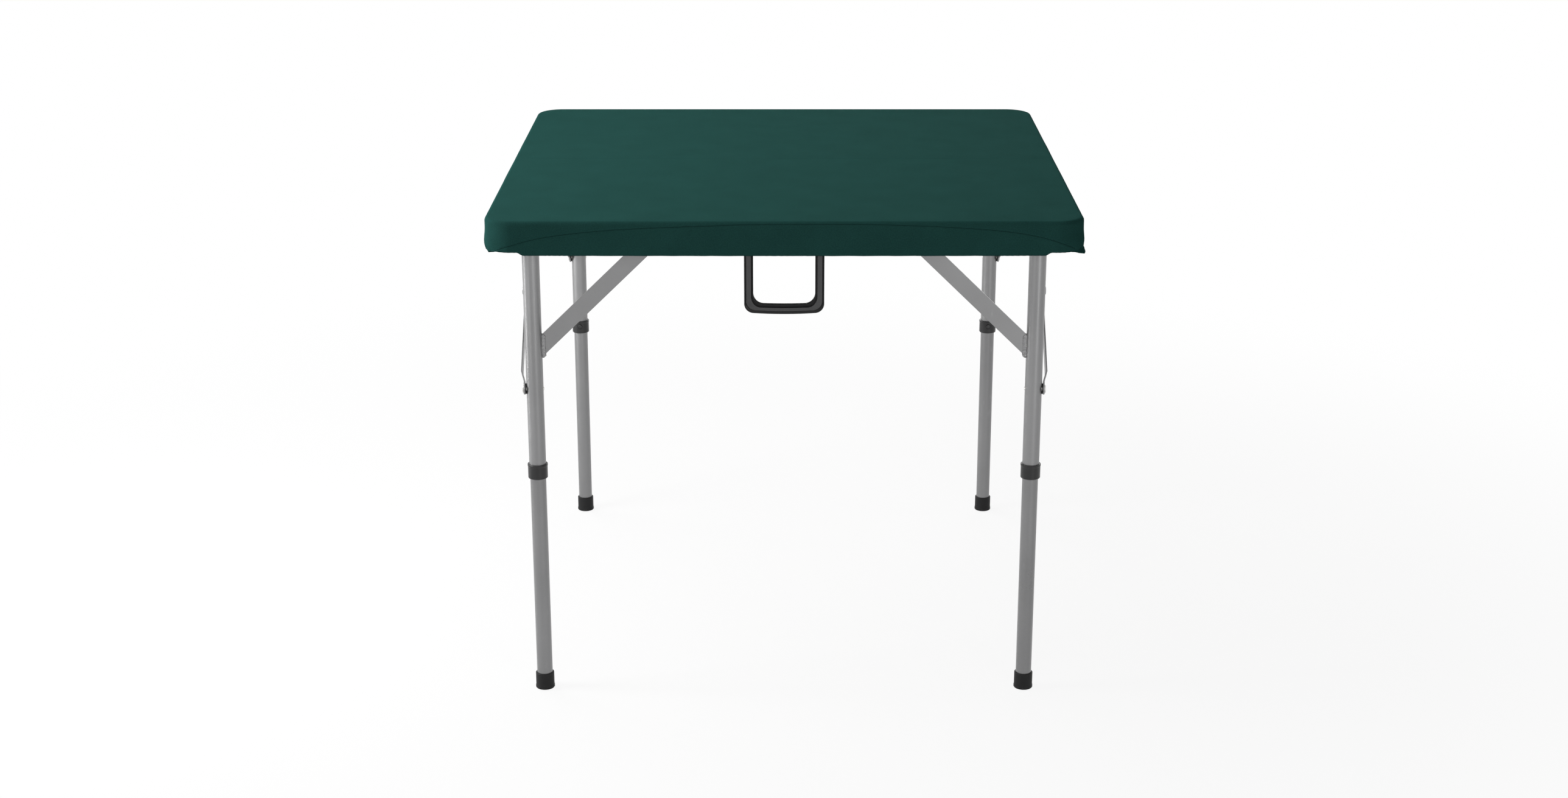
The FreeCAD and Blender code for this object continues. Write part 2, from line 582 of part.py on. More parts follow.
def snap_clip():
    """V spring inside the lower tube, with the button on its inward leaf."""
    bore = LOWER_LEG_R - LOWER_LEG_WALL
    seat = math.sqrt(bore**2 - (CLIP_WIDTH / 2) ** 2) - 0.05   # a leaf's edges just clear the bore
    top, bend = BUTTON_Z + 2 * BUTTON_R, BUTTON_Z + 2 * BUTTON_R - CLIP_HEIGHT
    mid_z = (top + bend) / 2
    t = CLIP_THICK
    outer = [(seat, top), (seat, mid_z), (t, bend), (-t, bend), (-seat, mid_z), (-seat, top)]
    inner = [(-seat + t, top), (-seat + t, mid_z), (0, bend + 2 * t), (seat - t, mid_z), (seat - t, top)]
    leaf = prism_x([(LEG_Y + y, z) for y, z in outer + inner], -CLIP_WIDTH / 2, CLIP_WIDTH / 2)
    leaf.translate(V(LEG_X, 0, 0))
    length = COLLAR_OD / 2 + BUTTON_PROUD - seat
    outline = [
        (0, -t / 2), (BUTTON_R, -t / 2), (BUTTON_R, length - 1.4), (BUTTON_R - 0.9, length - 0.4),
        (BUTTON_R - 2, length), (0, length),
    ]
    return leaf.fuse(turned(outline, V(LEG_X, LEG_Y + seat, BUTTON_Z), Y_AXIS)).removeSplitter()


# --- braces ---------------------------------------------------------------------------------------
def stand_up(link, y, z):
    """Turns a link drawn along +Y from the origin up to the brace's angle at its lower pivot."""
    link.rotate(ORIGIN, X_AXIS, BRACE_ANGLE)
    link.translate(V(LEG_OUTER_X, y, z))
    return link


def brace_lower():
    """Jogged lower link, with the middle rivet's shank and inner head."""
    r = LINK_WIDTH / 2
    steps = [
        (-r, LINK_IN), (JOG_START, LINK_IN), (JOG_START + JOG_LENGTH, LINK_OUT), (LOWER_LINK + r, LINK_OUT),
    ]
    inner = [V(x, y, -r) for y, x in steps]
    outer = [V(x + LINK_THICK, y, -r) for y, x in reversed(steps)]
    strip = Part.Face(Part.makePolygon(inner + outer + inner[:1])).extrude(V(0, 0, LINK_WIDTH))
    plate = strip.common(slot_x((0, 0), (LOWER_LINK, 0), r, LINK_IN - 1, LINK_OUT + LINK_THICK + 1))
    stud_hole = rod(BRACE_PIN_R + BRACE_PIN_PLAY, V(0, 0, 0), X_AXIS, LINK_OUT)
    head = turned(
        [(0, 0), (BRACE_HEAD_R - 0.6, 0), (BRACE_HEAD_R, INNER_HEAD_THICK), (0, INNER_HEAD_THICK)],
        V(LINK_OUT - INNER_HEAD_THICK, LOWER_LINK, 0),
        X_AXIS,
    )
    return stand_up(plate.cut(stud_hole).fuse(head).removeSplitter(), LEG_Y, STUD_Z)


def brace_upper():
    """Straight upper link, with the middle rivet's outer head."""
    x0, x1 = UPPER_LINK_IN, UPPER_LINK_IN + LINK_THICK
    plate = slot_x((0, 0), (UPPER_LINK, 0), LINK_WIDTH / 2, x0, x1)
    rail_hole = rod(BRACE_PIN_R + BRACE_PIN_PLAY, V(x0, UPPER_LINK, 0), X_AXIS, LINK_THICK)
    head = turned(
        [(0, 0), (BRACE_HEAD_R, 0), (BRACE_HEAD_R - 1, BRACE_HEAD_THICK), (0, BRACE_HEAD_THICK)],
        V(x1, 0, 0),
        X_AXIS,
    )
    return stand_up(plate.cut(rail_hole).fuse(head).removeSplitter(), MID_Y, MID_Z)


# --- handle ---------------------------------------------------------------------------------------
def bail(inset, thickness):
    """The U of the handle, drawn in by inset from its edges."""
    outer_x = HANDLE_WIDTH / 2 - inset
    inner_x = HANDLE_WIDTH / 2 - HANDLE_ARM + inset
    low = HANDLE_Z - HANDLE_DROP + HANDLE_BOW + inset
    high = HANDLE_Z - HANDLE_DROP + HANDLE_BOW + HANDLE_GRIP - inset
    top = HANDLE_Z - inset
    r_out, r_in = HANDLE_OUTER_R - inset, HANDLE_INNER_R + inset
    y = HANDLE_Y - thickness / 2
    diagonal = 1 - math.sqrt(0.5)

    def p(x, z):
        return V(x, y, z)

    def turn(x, z, r):
        """A quarter turn at each side: the corner point's two ends and the middle of the arc."""
        return [(x, z + r), (x - diagonal * r, z + diagonal * r), (x - r, z)]

    def u_line(x, z, r, bow):
        side, middle, base = turn(x, z, r)
        return [
            Part.LineSegment(p(-x, top), p(-side[0], side[1])).toShape(),
            Part.Arc(p(-side[0], side[1]), p(-middle[0], middle[1]), p(-base[0], base[1])).toShape(),
            Part.Arc(p(-base[0], base[1]), p(0, z - bow), p(*base)).toShape(),
            Part.Arc(p(*base), p(*middle), p(*side)).toShape(),
            Part.LineSegment(p(*side), p(x, top)).toShape(),
        ]

    ends = [Part.LineSegment(p(s * outer_x, top), p(s * inner_x, top)).toShape() for s in (-1, 1)]
    edges = u_line(outer_x, low, r_out, HANDLE_BOW) + u_line(inner_x, high, r_in, HANDLE_BOW / 3) + ends
    wire = Part.Wire(Part.__sortEdges__(edges))
    return Part.Face(wire).extrude(V(0, thickness, 0))


def carry_handle():
    rib = bail((HANDLE_ARM - HANDLE_RIB_WIDTH) / 2, HANDLE_THICK + 2 * HANDLE_RIB_PROUD)
    arm_x = HANDLE_WIDTH / 2 - HANDLE_ARM
    knuckle = rod(KNUCKLE_R, V(arm_x, HANDLE_Y, HANDLE_Z), X_AXIS, HANDLE_ARM)
    stub = rod(
        HANDLE_PIN_R, V(HANDLE_WIDTH / 2, HANDLE_Y, HANDLE_Z), X_AXIS, MOUNT_CHEEK_GAP + MOUNT_CHEEK
    )
    return bail(0, HANDLE_THICK).fuse([rib] + both_sides([knuckle, stub])).removeSplitter()


def handle_mount():
    """Moulded strip on the rim's inner face, with a cheek outside each arm of the handle."""
    cheek_r = HANDLE_PIN_R + 3.5
    x0 = HANDLE_WIDTH / 2 + MOUNT_CHEEK_GAP
    x1 = x0 + MOUNT_CHEEK
    plate_y = -RIM_INNER
    plate = box(-x1, x1, plate_y, plate_y + MOUNT_THICK, MOUNT_Z, MOUNT_Z + MOUNT_HEIGHT)
    web = prism_x(
        [
            (plate_y, HANDLE_Z), (HANDLE_Y, HANDLE_Z - cheek_r), (HANDLE_Y + cheek_r, HANDLE_Z),
            (plate_y + MOUNT_THICK, MOUNT_Z + MOUNT_HEIGHT), (plate_y, MOUNT_Z + MOUNT_HEIGHT),
        ],
        x0,
        x1,
    )
    eye = rod(cheek_r, V(x0, HANDLE_Y, HANDLE_Z), X_AXIS, MOUNT_CHEEK)
    keep = box(-x1, x1, plate_y, 0, 0, TABLE_HEIGHT)
    hole = rod(HANDLE_PIN_R + HANDLE_PLAY, V(x0, HANDLE_Y, HANDLE_Z), X_AXIS, MOUNT_CHEEK)
    strip = plate.fuse(both_sides([web, eye])).common(keep).removeSplitter()
    return strip.cut(both_sides([hole]) + mount_screws())


# --- the assembly ---------------------------------------------------------------------------------
def front_group(shapes):
    return Part.makeCompound(both_sides(shapes))


def build():
    """Every piece by name. The rear half and its leg frame mirror the front ones."""
    nodes = {
        "table_cover": table_cover(),
        "panel_front": half_panel(both_sides(rail_screws()) + mount_screws()),
        "panel_rear": flip_y(half_panel(both_sides(rail_screws()))),
        "rail_screws_front": Part.makeCompound(
            both_sides(rail_screws() + leaf_rivets(-1)) + mount_screws()
        ),
        "rail_screws_rear": flip_y(front_group(rail_screws() + leaf_rivets(-1))),
        "hinge_pins": front_group([hinge_pin()]),
        "handle_mount": handle_mount(),
        "carry_handle": carry_handle(),
    }
    for side, turn in (("right", lambda s: s), ("left", flip_x)):
        nodes[f"hinge_leaf_front_{side}"] = turn(front_leaf())
        nodes[f"hinge_leaf_rear_{side}"] = turn(rear_leaf())
    groups = {
        "pivot_bushes": [pivot_bush()],
        "brace_rivets": [brace_rivet()],
        "leg_caps": [leg_cap()],
        "leg_studs": leg_stud(),
        "leg_washers": [leg_washer()],
    }
    singles = {
        "rail": rail(),
        "upper_leg": upper_leg(),
        "gusset": gusset(),
        "collar": collar(),
        "lower_leg": lower_leg(),
        "foot": foot(),
        "snap_clip": snap_clip(),
        "brace_lower": brace_lower(),
        "brace_upper": brace_upper(),
    }
    for half, swing in (("front", lambda s: s), ("rear", flip_y)):
        nodes[f"crossbar_{half}"] = swing(crossbar())
        for name, shapes in groups.items():
            nodes[f"{name}_{half}"] = swing(front_group(shapes))
        for name, shape in singles.items():
            nodes[f"{name}_{half}_right"] = swing(shape)
            nodes[f"{name}_{half}_left"] = swing(flip_x(shape))
    return nodes


os.makedirs("parts", exist_ok=True)
for node, shape in build().items():
    shape.exportStep(f"parts/{node}.step")
    print(node, len(shape.Solids), "solids,", round(shape.Volume), "mm3, valid:", shape.isValid())
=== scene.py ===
import bmesh
import bpy
import json
import math
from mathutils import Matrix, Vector, noise

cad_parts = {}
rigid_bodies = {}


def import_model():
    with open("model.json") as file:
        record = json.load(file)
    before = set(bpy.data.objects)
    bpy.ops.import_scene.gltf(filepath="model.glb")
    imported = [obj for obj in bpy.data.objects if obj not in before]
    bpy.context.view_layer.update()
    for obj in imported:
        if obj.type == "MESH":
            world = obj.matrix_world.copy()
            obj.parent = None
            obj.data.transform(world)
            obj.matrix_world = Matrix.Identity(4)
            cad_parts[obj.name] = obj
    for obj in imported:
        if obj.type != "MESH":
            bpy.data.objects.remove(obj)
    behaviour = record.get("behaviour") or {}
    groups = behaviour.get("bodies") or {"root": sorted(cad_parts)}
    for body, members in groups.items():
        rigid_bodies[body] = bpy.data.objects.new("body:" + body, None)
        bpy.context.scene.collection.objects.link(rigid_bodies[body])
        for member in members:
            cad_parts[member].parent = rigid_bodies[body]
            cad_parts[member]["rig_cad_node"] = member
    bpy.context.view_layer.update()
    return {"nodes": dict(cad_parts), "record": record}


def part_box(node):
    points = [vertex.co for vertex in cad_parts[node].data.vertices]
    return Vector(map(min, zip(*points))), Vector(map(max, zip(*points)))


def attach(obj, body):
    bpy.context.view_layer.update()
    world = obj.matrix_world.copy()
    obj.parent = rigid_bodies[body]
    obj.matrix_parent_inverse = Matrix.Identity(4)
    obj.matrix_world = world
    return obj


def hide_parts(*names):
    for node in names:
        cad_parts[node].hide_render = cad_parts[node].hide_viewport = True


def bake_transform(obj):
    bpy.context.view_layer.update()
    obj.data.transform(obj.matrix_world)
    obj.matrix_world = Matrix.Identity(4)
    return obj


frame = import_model()

MM = 0.001

# --- the photograph's camera ------------------------------------
IMAGE_WIDTH = 2576               # pixels
FOCAL_LENGTH = 3908.1            # pixels
SENSOR_WIDTH = 36.0
CAMERA_PLACE = (-0.0003, -3.8034, 1.5507)
CAMERA_PITCH = 18.77             # degrees below level
CAMERA_SHIFT = 79.5              # pixels, the picture's middle above the view's axis

# --- cover ------------------------------------------------------
COVER_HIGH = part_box("table_cover")[1]
COVER_HALF = COVER_HIGH.x
COVER_TOP = COVER_HIGH.z
COVER_CORNER_R = 43.5 * MM       # in plan, outside
COVER_EDGE_R = 6.0 * MM          # over the table's edge
CLOTH_THICK = 0.7 * MM
HEM_CORNER_Z = 705.8 * MM        # hem outside the legs
HEM_LEG_Z = 701.35 * MM          # hem just inside them
HEM_SAG = 0.4 * MM               # further down in the middle of a side
HEM_STEP = (380 * MM, 389 * MM)  # along the side, where the hem climbs to the corner
HEM_ROLL_R = 1.4 * MM
HEM_TURN = 8 * MM                # turned in under the rim
HEM_GATHER_DEPTH = 0.25 * MM     # waves of the turned-in band
HEM_GATHER_WAVE = 5.5 * MM
SCALLOP_DEPTH = 0.45 * MM        # the hem hangs lower between its gathers
SCALLOP_WAVE = 7.5 * MM
SEAM_TOP = 3.4 * MM              # apex of the arched seam, below the table's top
SEAM_BOW = 19.5 * MM
SEAM_HOOK = 21.5 * MM
SEAM_HOOK_POWER = 8
SEAM_WAVER = 0.8 * MM
SEAM_INSET = 1 * MM              # the stitches stop this far before the seam's ends
SEAM_GROOVE = 0.6 * MM
SEAM_GROOVE_HALF = 1.3 * MM
SEAM_RIDGE = 0.35                # beside the groove, as a share of its depth
SEAM_FADE = (2 * MM, 6 * MM)     # above the hem, where the groove fades out
STITCH_PITCH = 2.2 * MM
STITCH_LENGTH = 1.4 * MM
STITCH_R = 0.36 * MM
STITCH_LIFT = 0.1 * MM
# A stitch's thickness along it: (share of its length, share of its radius).
STITCH_PROFILE = ((0, 0.45), (0.15, 0.95), (0.5, 1.1), (0.85, 0.95), (1, 0.45))
STITCH_SIDES = 6
PUCKER_WAVE = 11 * MM
PUCKER_DEPTH = 0.7 * MM
PUCKER_REACH = 34 * MM           # from the corner's middle, along the hem
PUCKER_START = 0.55              # share of the way down
PUCKER_SHIFT = 1.7               # waves, between neighbouring sides
CORNER_BAG = 2.5 * MM            # how far a corner's cloth bulges above the rim's edge
BAG_REACH = 40 * MM              # from the corner's middle
BAG_MIDDLE = 0.76                # share of the way down
BAG_SPREAD = 0.22
CREASE_DEPTH = 0.5 * MM          # of the slight creases round a corner
CREASE_REACH = 75 * MM
SKIRT_UNEVEN = 0.12 * MM
INWARD_MOST = 0.9 * MM           # how far in the cloth may lie
# At each front corner slack cloth hangs from the hem: where its tip is, from the corner's middle
# towards the side, how far it reaches to the front and to the side, how low and how far out it is.
SLACK = {
    "front_right": (14 * MM, 25 * MM, 18 * MM, 6.2 * MM, 5.6 * MM),
    "front_left": (18 * MM, 16 * MM, 20 * MM, 6.4 * MM, -3.4 * MM),
}
SLACK_REACH = 60 * MM            # from the corner's middle
SLACK_POWER = 1.3                # how sharply its tip comes to a point
SLACK_START = 1.5 * MM           # above the corner's hem
SLACK_CREASE = 0.8 * MM          # deep, where the slack cloth leaves the rim
SLACK_CREASE_Z = 2 * MM          # above the corner's hem
SLACK_CREASE_HALF = 1.6 * MM
TOP_UNEVEN = 0.22 * MM
TOP_SETTLE = 0.1 * MM            # how much lower the top lies away from its edges
TOP_BORDER = 40 * MM             # along the edges, where neither is full yet
FOLD_DENT = 0.35 * MM
FOLD_DENT_HALF = 3.5 * MM
FOLD_DENT_BORDER = 20 * MM
FOLD_ZONE = 34 * MM              # each side of the fold line, where the grid is closer
CORNER_ZONE = 90 * MM            # before each corner, likewise
FOLD_STEP, MIDDLE_STEP, CORNER_STEP, ROUND_STEP = 4 * MM, 9 * MM, 3 * MM, 2.6 * MM
SEAM_ROWS = (-2, -1.3, -0.7, 0, 0.7, 1.3, 2)   # across the groove, in its half widths
ROWS_ABOVE, ROWS_BELOW = 16, 12                # of cloth above and below the seam
ROW_CROWDING = 1.25                            # over 1, they crowd at the table's edge
ROLL_ROWS, TURN_ROWS = 4, 5                    # in the hem's roll and its turned-in band

# --- handle, welds and clips ------------------------------------
HANDLE_LOW, HANDLE_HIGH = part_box("carry_handle")
HANDLE_HALF = 59 * MM
HANDLE_ARM = 13.5 * MM
HANDLE_GRIP = 14.5 * MM
HANDLE_OUTER_R = 14 * MM
HANDLE_INNER_R = 16 * MM
HANDLE_BOW = 1.5 * MM
HANDLE_EDGE_R = 0.35 * MM
ARM_STEPS, BEND_STEPS, GRIP_STEPS = 9, 12, 8
KNUCKLE_R = 6 * MM
KNUCKLE_CHAMFER = 0.8 * MM
HANDLE_PIN_R = 3 * MM
HANDLE_PIN_CHAMFER = 0.5 * MM
WELD_SINK = 0.35 * MM            # into the leg's wall
WELD_FLAT = 0.5                  # a run's depth to its width
WELD_STEPS = 20
WELD_RIPPLE = 0.07               # of the bead's radius
WELD_RIPPLE_STEP = 0.9           # radians at each point
WELD_LUMP = 0.2                  # of the bead's radius
WELD_LUMP_SCALE = 330            # lumps in a metre
WELD_END = 0.35                  # the radius at a run's end, as a share of the full one
WELD_END_STEP = 0.2              # and what each further point adds
LEG_WELD_R = 4.1 * MM
LEG_WELD_LENGTH = 34.5 * MM      # the gusset's end on the leg
LEG_WELD_PAST = 1 * MM           # past the gusset's end, at both ends
LEG_WELD_OFF = 1.3 * MM          # off the leg's wall
LEG_WELD_STEPS = 44
BAR_WELD_R = 2.2 * MM
BAR_WELD_LENGTH = 35.6 * MM      # the gusset's end on the crossbar
BAR_WELD_OFF = 0.4 * MM
BAR_WELD_STEPS = 22
RING_WELD_R = 1.3 * MM
RING_WELD_STEPS = 40
CLIP_THICK = 0.7 * MM
CLIP_NOSE_R = 1.6 * MM
CLIP_NOSE_STEPS = 8
CLIP_EDGE_R = 0.12 * MM
BUTTON_R = 3.9 * MM
# The button's domed end: (in from its radius, back from its tip).
BUTTON_DOME = (
    (0, 1.4 * MM), (0.3 * MM, 0.75 * MM), (1.1 * MM, 0.25 * MM), (2.4 * MM, 0),
)
EDGE_ANGLE = 32                  # degrees; flatter edges stay sharp


# --- shader graphs ----------------------------------------------
class Graph:
    """One material, with helpers that add and link its shader nodes."""

    def __init__(self, name, roughness, metallic=0.0, **sockets):
        self.material = bpy.data.materials.new(name)
        self.material.use_nodes = True
        self.nodes = self.material.node_tree.nodes
        self.links = self.material.node_tree.links
        self.shader = self.nodes["Principled BSDF"]
        self.shader.inputs["Roughness"].default_value = roughness
        self.shader.inputs["Metallic"].default_value = metallic
        for socket, value in sockets.items():
            self.shader.inputs[socket.replace("_", " ")].default_value = value

    def add(self, kind, inputs=None, **settings):
        node = self.nodes.new(kind)
        for name, value in settings.items():
            setattr(node, name, value)
        for socket, value in (inputs or {}).items():
            if isinstance(value, bpy.types.NodeSocket):
                self.links.new(value, node.inputs[socket])
            else:
                node.inputs[socket].default_value = value
        return node

    def place(self):
        """The point in the row frame's metres, as the object holds it."""
        return self.add("ShaderNodeTexCoord").outputs["Object"]

    def cloth(self):
        """The point on the flat cloth, in metres."""
        return self.add("ShaderNodeAttribute", attribute_name="cloth_place").outputs["Vector"]

    def noise(self, place, scale, detail=2.0, stretch=(1, 1, 1)):
        moved = self.add("ShaderNodeMapping", {"Vector": place, "Scale": stretch}).outputs["Vector"]
        inputs = {"Vector": moved, "Scale": scale, "Detail": detail}
        return self.add("ShaderNodeTexNoise", inputs).outputs["Fac"]

    def math(self, operation, *values):
        node = self.add("ShaderNodeMath", dict(enumerate(values)), operation=operation)
        return node.outputs[0]

    def spread(self, value, low, high, start=0.3, end=0.7):
        """A value from start to end, carried to low to high."""
        inputs = {"Value": value, "From Min": start, "From Max": end, "To Min": low, "To Max": high}
        return self.add("ShaderNodeMapRange", inputs).outputs["Result"]

    def colours(self, value, low, high):
        """A colour ramp between two (position, colour) ends."""
        ramp = self.add("ShaderNodeValToRGB", {"Fac": value})
        for element, (position, colour) in zip(ramp.color_ramp.elements, (low, high)):
            element.position = position
            element.color = (*colour, 1)
        return ramp.outputs["Color"]

    def mix(self, share, base, colour):
        """A base colour, turned into a plain one by a share."""
        inputs = {0: share, 6: base, 7: (*colour, 1)}
        return self.add("ShaderNodeMix", inputs, data_type="RGBA").outputs[2]

    def bump(self, height, distance, strength=1.0, under=None):
        inputs = {"Height": height, "Distance": distance, "Strength": strength}
        if under is not None:
            inputs["Normal"] = under
        return self.add("ShaderNodeBump", inputs).outputs["Normal"]

    def set(self, socket, value):
        self.links.new(value, self.shader.inputs[socket])


def shade(colour, factor):
    return tuple(c * factor for c in colour)


# --- materials --------------------------------------------------
def knit_height(graph, place, pitch):
    """Rows of small V stitches, as a jersey knit shows them."""
    split = graph.add("ShaderNodeSeparateXYZ", {"Vector": place})
    wale = graph.math("DIVIDE", split.outputs["X"], pitch)
    lean = graph.math("ABSOLUTE", graph.math("SUBTRACT", graph.math("FRACT", wale), 0.5))
    course = graph.math("ADD", graph.math("DIVIDE", split.outputs["Y"], pitch * 0.8), lean)
    loop = graph.math("ABSOLUTE", graph.math("SINE", graph.math("MULTIPLY", course, math.pi)))
    gutter = graph.math("ABSOLUTE", graph.math("SINE", graph.math("MULTIPLY", wale, math.pi)))
    return graph.math("MULTIPLY", loop, graph.math("POWER", gutter, 0.6))


def cloth_material(name, colour, sheen):
    """Dull knitted cloth, its colour cloudy and flecked."""
    graph = Graph(name, roughness=0.86, Sheen_Weight=sheen, Sheen_Roughness=0.42, Specular_IOR_Level=0.004)
    graph.shader.inputs["Sheen Tint"].default_value = (0.16, 0.92, 0.76, 1)
    place = graph.cloth()
    cloudy = graph.noise(place, 16, 3)
    fleck = graph.noise(place, 600, 3)
    mixed = graph.math("ADD", graph.math("MULTIPLY", cloudy, 0.29), graph.math("MULTIPLY", fleck, 0.71))
    graph.set("Base Color", graph.colours(mixed, (0.33, shade(colour, 0.85)), (0.67, shade(colour, 1.15))))
    knit = knit_height(graph, place, 0.9 * MM)
    soft = graph.bump(graph.noise(place, 230, 3), 0.10 * MM, 0.6)
    graph.set("Normal", graph.bump(knit, 0.11 * MM, 0.7, soft))
    return graph.material


def steel_material(name, colour, roughness, metallic):
    """Powder coat: a fine orange peel, a few scuffs and dusty patches."""
    graph = Graph(name, roughness, metallic, Coat_Weight=0.12, Coat_Roughness=0.3)
    place = graph.place()
    patches = graph.noise(place, 9, 4)
    grain = graph.noise(place, 1500)
    scuffs = graph.noise(place, 60, 5, stretch=(1, 1, 0.35))
    tone = graph.math("ADD", graph.math("MULTIPLY", patches, 0.5), graph.math("MULTIPLY", grain, 0.5))
    base = graph.colours(tone, (0.35, shade(colour, 0.93)), (0.65, shade(colour, 1.07)))
    worn = graph.spread(scuffs, 0.0, 0.35, 0.66, 0.74)
    graph.set("Base Color", graph.mix(worn, base, shade(colour, 1.35)))
    graph.set("Roughness", graph.spread(patches, roughness - 0.05, roughness + 0.07))
    peel = graph.bump(graph.noise(place, 620), 0.05 * MM, 0.45)
    graph.set("Normal", graph.bump(grain, 0.02 * MM, 0.35, peel))
    return graph.material


def plated_material(name):
    """Zinc-plated steel with faint turning lines."""
    graph = Graph(name, roughness=0.3, metallic=1.0)
    place = graph.place()
    lines = graph.noise(place, 900, stretch=(0.12, 1, 1))
    stain = graph.noise(place, 140, 4)
    graph.set("Base Color", graph.colours(stain, (0.3, (0.56, 0.55, 0.52)), (0.7, (0.72, 0.72, 0.71))))
    graph.set("Roughness", graph.spread(stain, 0.24, 0.4))
    graph.set("Normal", graph.bump(lines, 0.02 * MM, 0.4))
    return graph.material


def moulded_material(name, colour, roughness, grain_size, grain_depth, gloss, fleck=None):
    """Moulded plastic: a leathery grain, slight sheen changes and, if asked, flecks of colour."""
    graph = Graph(name, roughness, Specular_IOR_Level=gloss)
    place = graph.place()
    patches = graph.noise(place, 30, 4)
    base = graph.colours(patches, (0.3, shade(colour, 0.88)), (0.7, shade(colour, 1.14)))
    if fleck:
        spots = graph.spread(graph.noise(place, 650, 1), 0.0, 0.8, 0.66, 0.7)
        base = graph.mix(spots, base, fleck)
    graph.set("Base Color", base)
    graph.set("Roughness", graph.spread(patches, roughness - 0.06, roughness + 0.08))
    cells = graph.add("ShaderNodeTexVoronoi", {"Vector": place, "Scale": 1 / grain_size})
    leather = graph.bump(cells.outputs["Distance"], grain_depth, 0.6)
    graph.set("Normal", graph.bump(graph.noise(place, 2200), 0.02 * MM, 0.4, leather))
    return graph.material


def weld_material(name, colour):
    """Lumpy metal in uneven greys, keyed to the bump: painted shade in the hollows between the lumps and a
    painted highlight on their tops.
    """
    graph = Graph(name, roughness=0.48, metallic=0.35)
    place = graph.place()
    lumps = graph.noise(place, 950, 3)
    # Painted shade and highlight: the bump's own noise sets the grey, darker where low and lighter where
    # high.
    graph.set("Base Color", graph.colours(lumps, (0.34, shade(colour, 0.7)), (0.66, shade(colour, 1.5))))
    graph.set("Normal", graph.bump(lumps, 0.35 * MM, 0.9))
    return graph.material


COVER_COLOUR = (0.0165, 0.0640, 0.0568)
STEEL_COLOUR = (0.268, 0.268, 0.271)
CLOTH = cloth_material("cover_cloth", COVER_COLOUR, 0.03)
HEM_CLOTH = cloth_material("cover_hem", shade(COVER_COLOUR, 0.62), 0.03)
THREAD = cloth_material("cover_thread", shade(COVER_COLOUR, 0.25), 0.01)
STEEL = steel_material("grey_steel", STEEL_COLOUR, 0.38, 0.5)
LOWER_STEEL = steel_material("lower_leg_steel", shade(STEEL_COLOUR, 0.86), 0.31, 0.6)
DARK_STEEL = steel_material("dark_steel_coat", (0.013, 0.013, 0.0135), 0.4, 0.1)
PLATED = plated_material("bright_steel")
BLACK = moulded_material("black_plastic", (0.0135, 0.0135, 0.014), 0.36, 0.55 * MM, 0.03 * MM, 0.4)
# Handle finishes: the flanges are black plastic painted darker still, a painted dark reflection on their
# downward-sloping faces. The rib's face is a lighter grey.
HANDLE_EDGE_PAINTED_DARK = moulded_material("handle_edge", (0.0075, 0.0075, 0.0078), 0.42, 0.4 * MM, 0.02 * MM, 0.2)
HANDLE_FACE = moulded_material("handle_face", (0.058, 0.058, 0.059), 0.5, 0.6 * MM, 0.04 * MM, 0.4)
RUBBER = moulded_material("black_rubber", (0.013, 0.013, 0.0135), 0.6, 0.4 * MM, 0.03 * MM, 0.2)
PANEL = moulded_material(
    "panel_plastic", (0.56, 0.56, 0.54), 0.52, 1.1 * MM, 0.06 * MM, 0.45, fleck=(0.2, 0.2, 0.2)
)
WELD = weld_material("weld_bead", STEEL_COLOUR)


# --- mesh helpers -----------------------------------------------
def new_piece(name, vertices, faces, material, slot):
    mesh = bpy.data.meshes.new(name)
    mesh.from_pydata([tuple(v) for v in vertices], [], faces)
    mesh.materials.append(material)
    mesh.shade_smooth()
    piece = bpy.data.objects.new(name, mesh)
    bpy.context.scene.collection.objects.link(piece)
    return piece


def bridge(faces, first, second):
    """Quads between two rings of vertex numbers of the same length."""
    for i in range(len(first)):
        j = (i + 1) % len(first)
        faces.append((first[i], first[j], second[j], second[i]))


def swept(rings, close_path=False):
    """Vertices and faces of a surface through closed rings, its ends capped or joined to each other."""
    vertices = [p for ring in rings for p in ring]
    size = len(rings[0])
    rows = [list(range(k * size, (k + 1) * size)) for k in range(len(rings))]
    faces = []
    for first, second in zip(rows, rows[1:]):
        bridge(faces, first, second)
    if close_path:
        bridge(faces, rows[-1], rows[0])
    else:
        faces.append(tuple(reversed(rows[0])))
        faces.append(tuple(rows[-1]))
    return vertices, faces


def merged(parts):
    """Several (vertices, faces) as one."""
    vertices, faces = [], []
    for part_vertices, part_faces in parts:
        start = len(vertices)
        vertices += list(part_vertices)
        faces += [tuple(i + start for i in face) for face in part_faces]
    return vertices, faces


def fix_normals(piece):
    mesh = bmesh.new()
    mesh.from_mesh(piece.data)
    bmesh.ops.recalc_face_normals(mesh, faces=mesh.faces)
    mesh.to_mesh(piece.data)
    mesh.free()


def apply_modifiers(piece):
    """Swaps the piece's mesh for the one that its modifiers make."""
    graph = bpy.context.evaluated_depsgraph_get()
    made = bpy.data.meshes.new_from_object(piece.evaluated_get(graph))
    piece.modifiers.clear()
    piece.data = made


def angles_round(count):
    """Even angles, all the way round."""
    return [2 * math.pi * k / count for k in range(count)]


def revolve(profile, start, axis, segments=48):
    """Turns a (radius, height) profile about an axis from start, closed at both ends."""
    axis = Vector(axis).normalized()
    across = axis.orthogonal().normalized()
    around = axis.cross(across)
    turns = angles_round(segments)
    rings = []
    for radius, height in profile:
        centre = Vector(start) + axis * height
        rings.append([centre + radius * (across * math.cos(a) + around * math.sin(a)) for a in turns])
    return swept(rings)


def smooth_step(value, start, end):
    share = min(1.0, max(0.0, (value - start) / (end - start)))
    return share * share * (3 - 2 * share)


def hump(distance, reach):
    """1 at no distance, falling smoothly away over the reach."""
    return math.exp(-((distance / reach) ** 2))


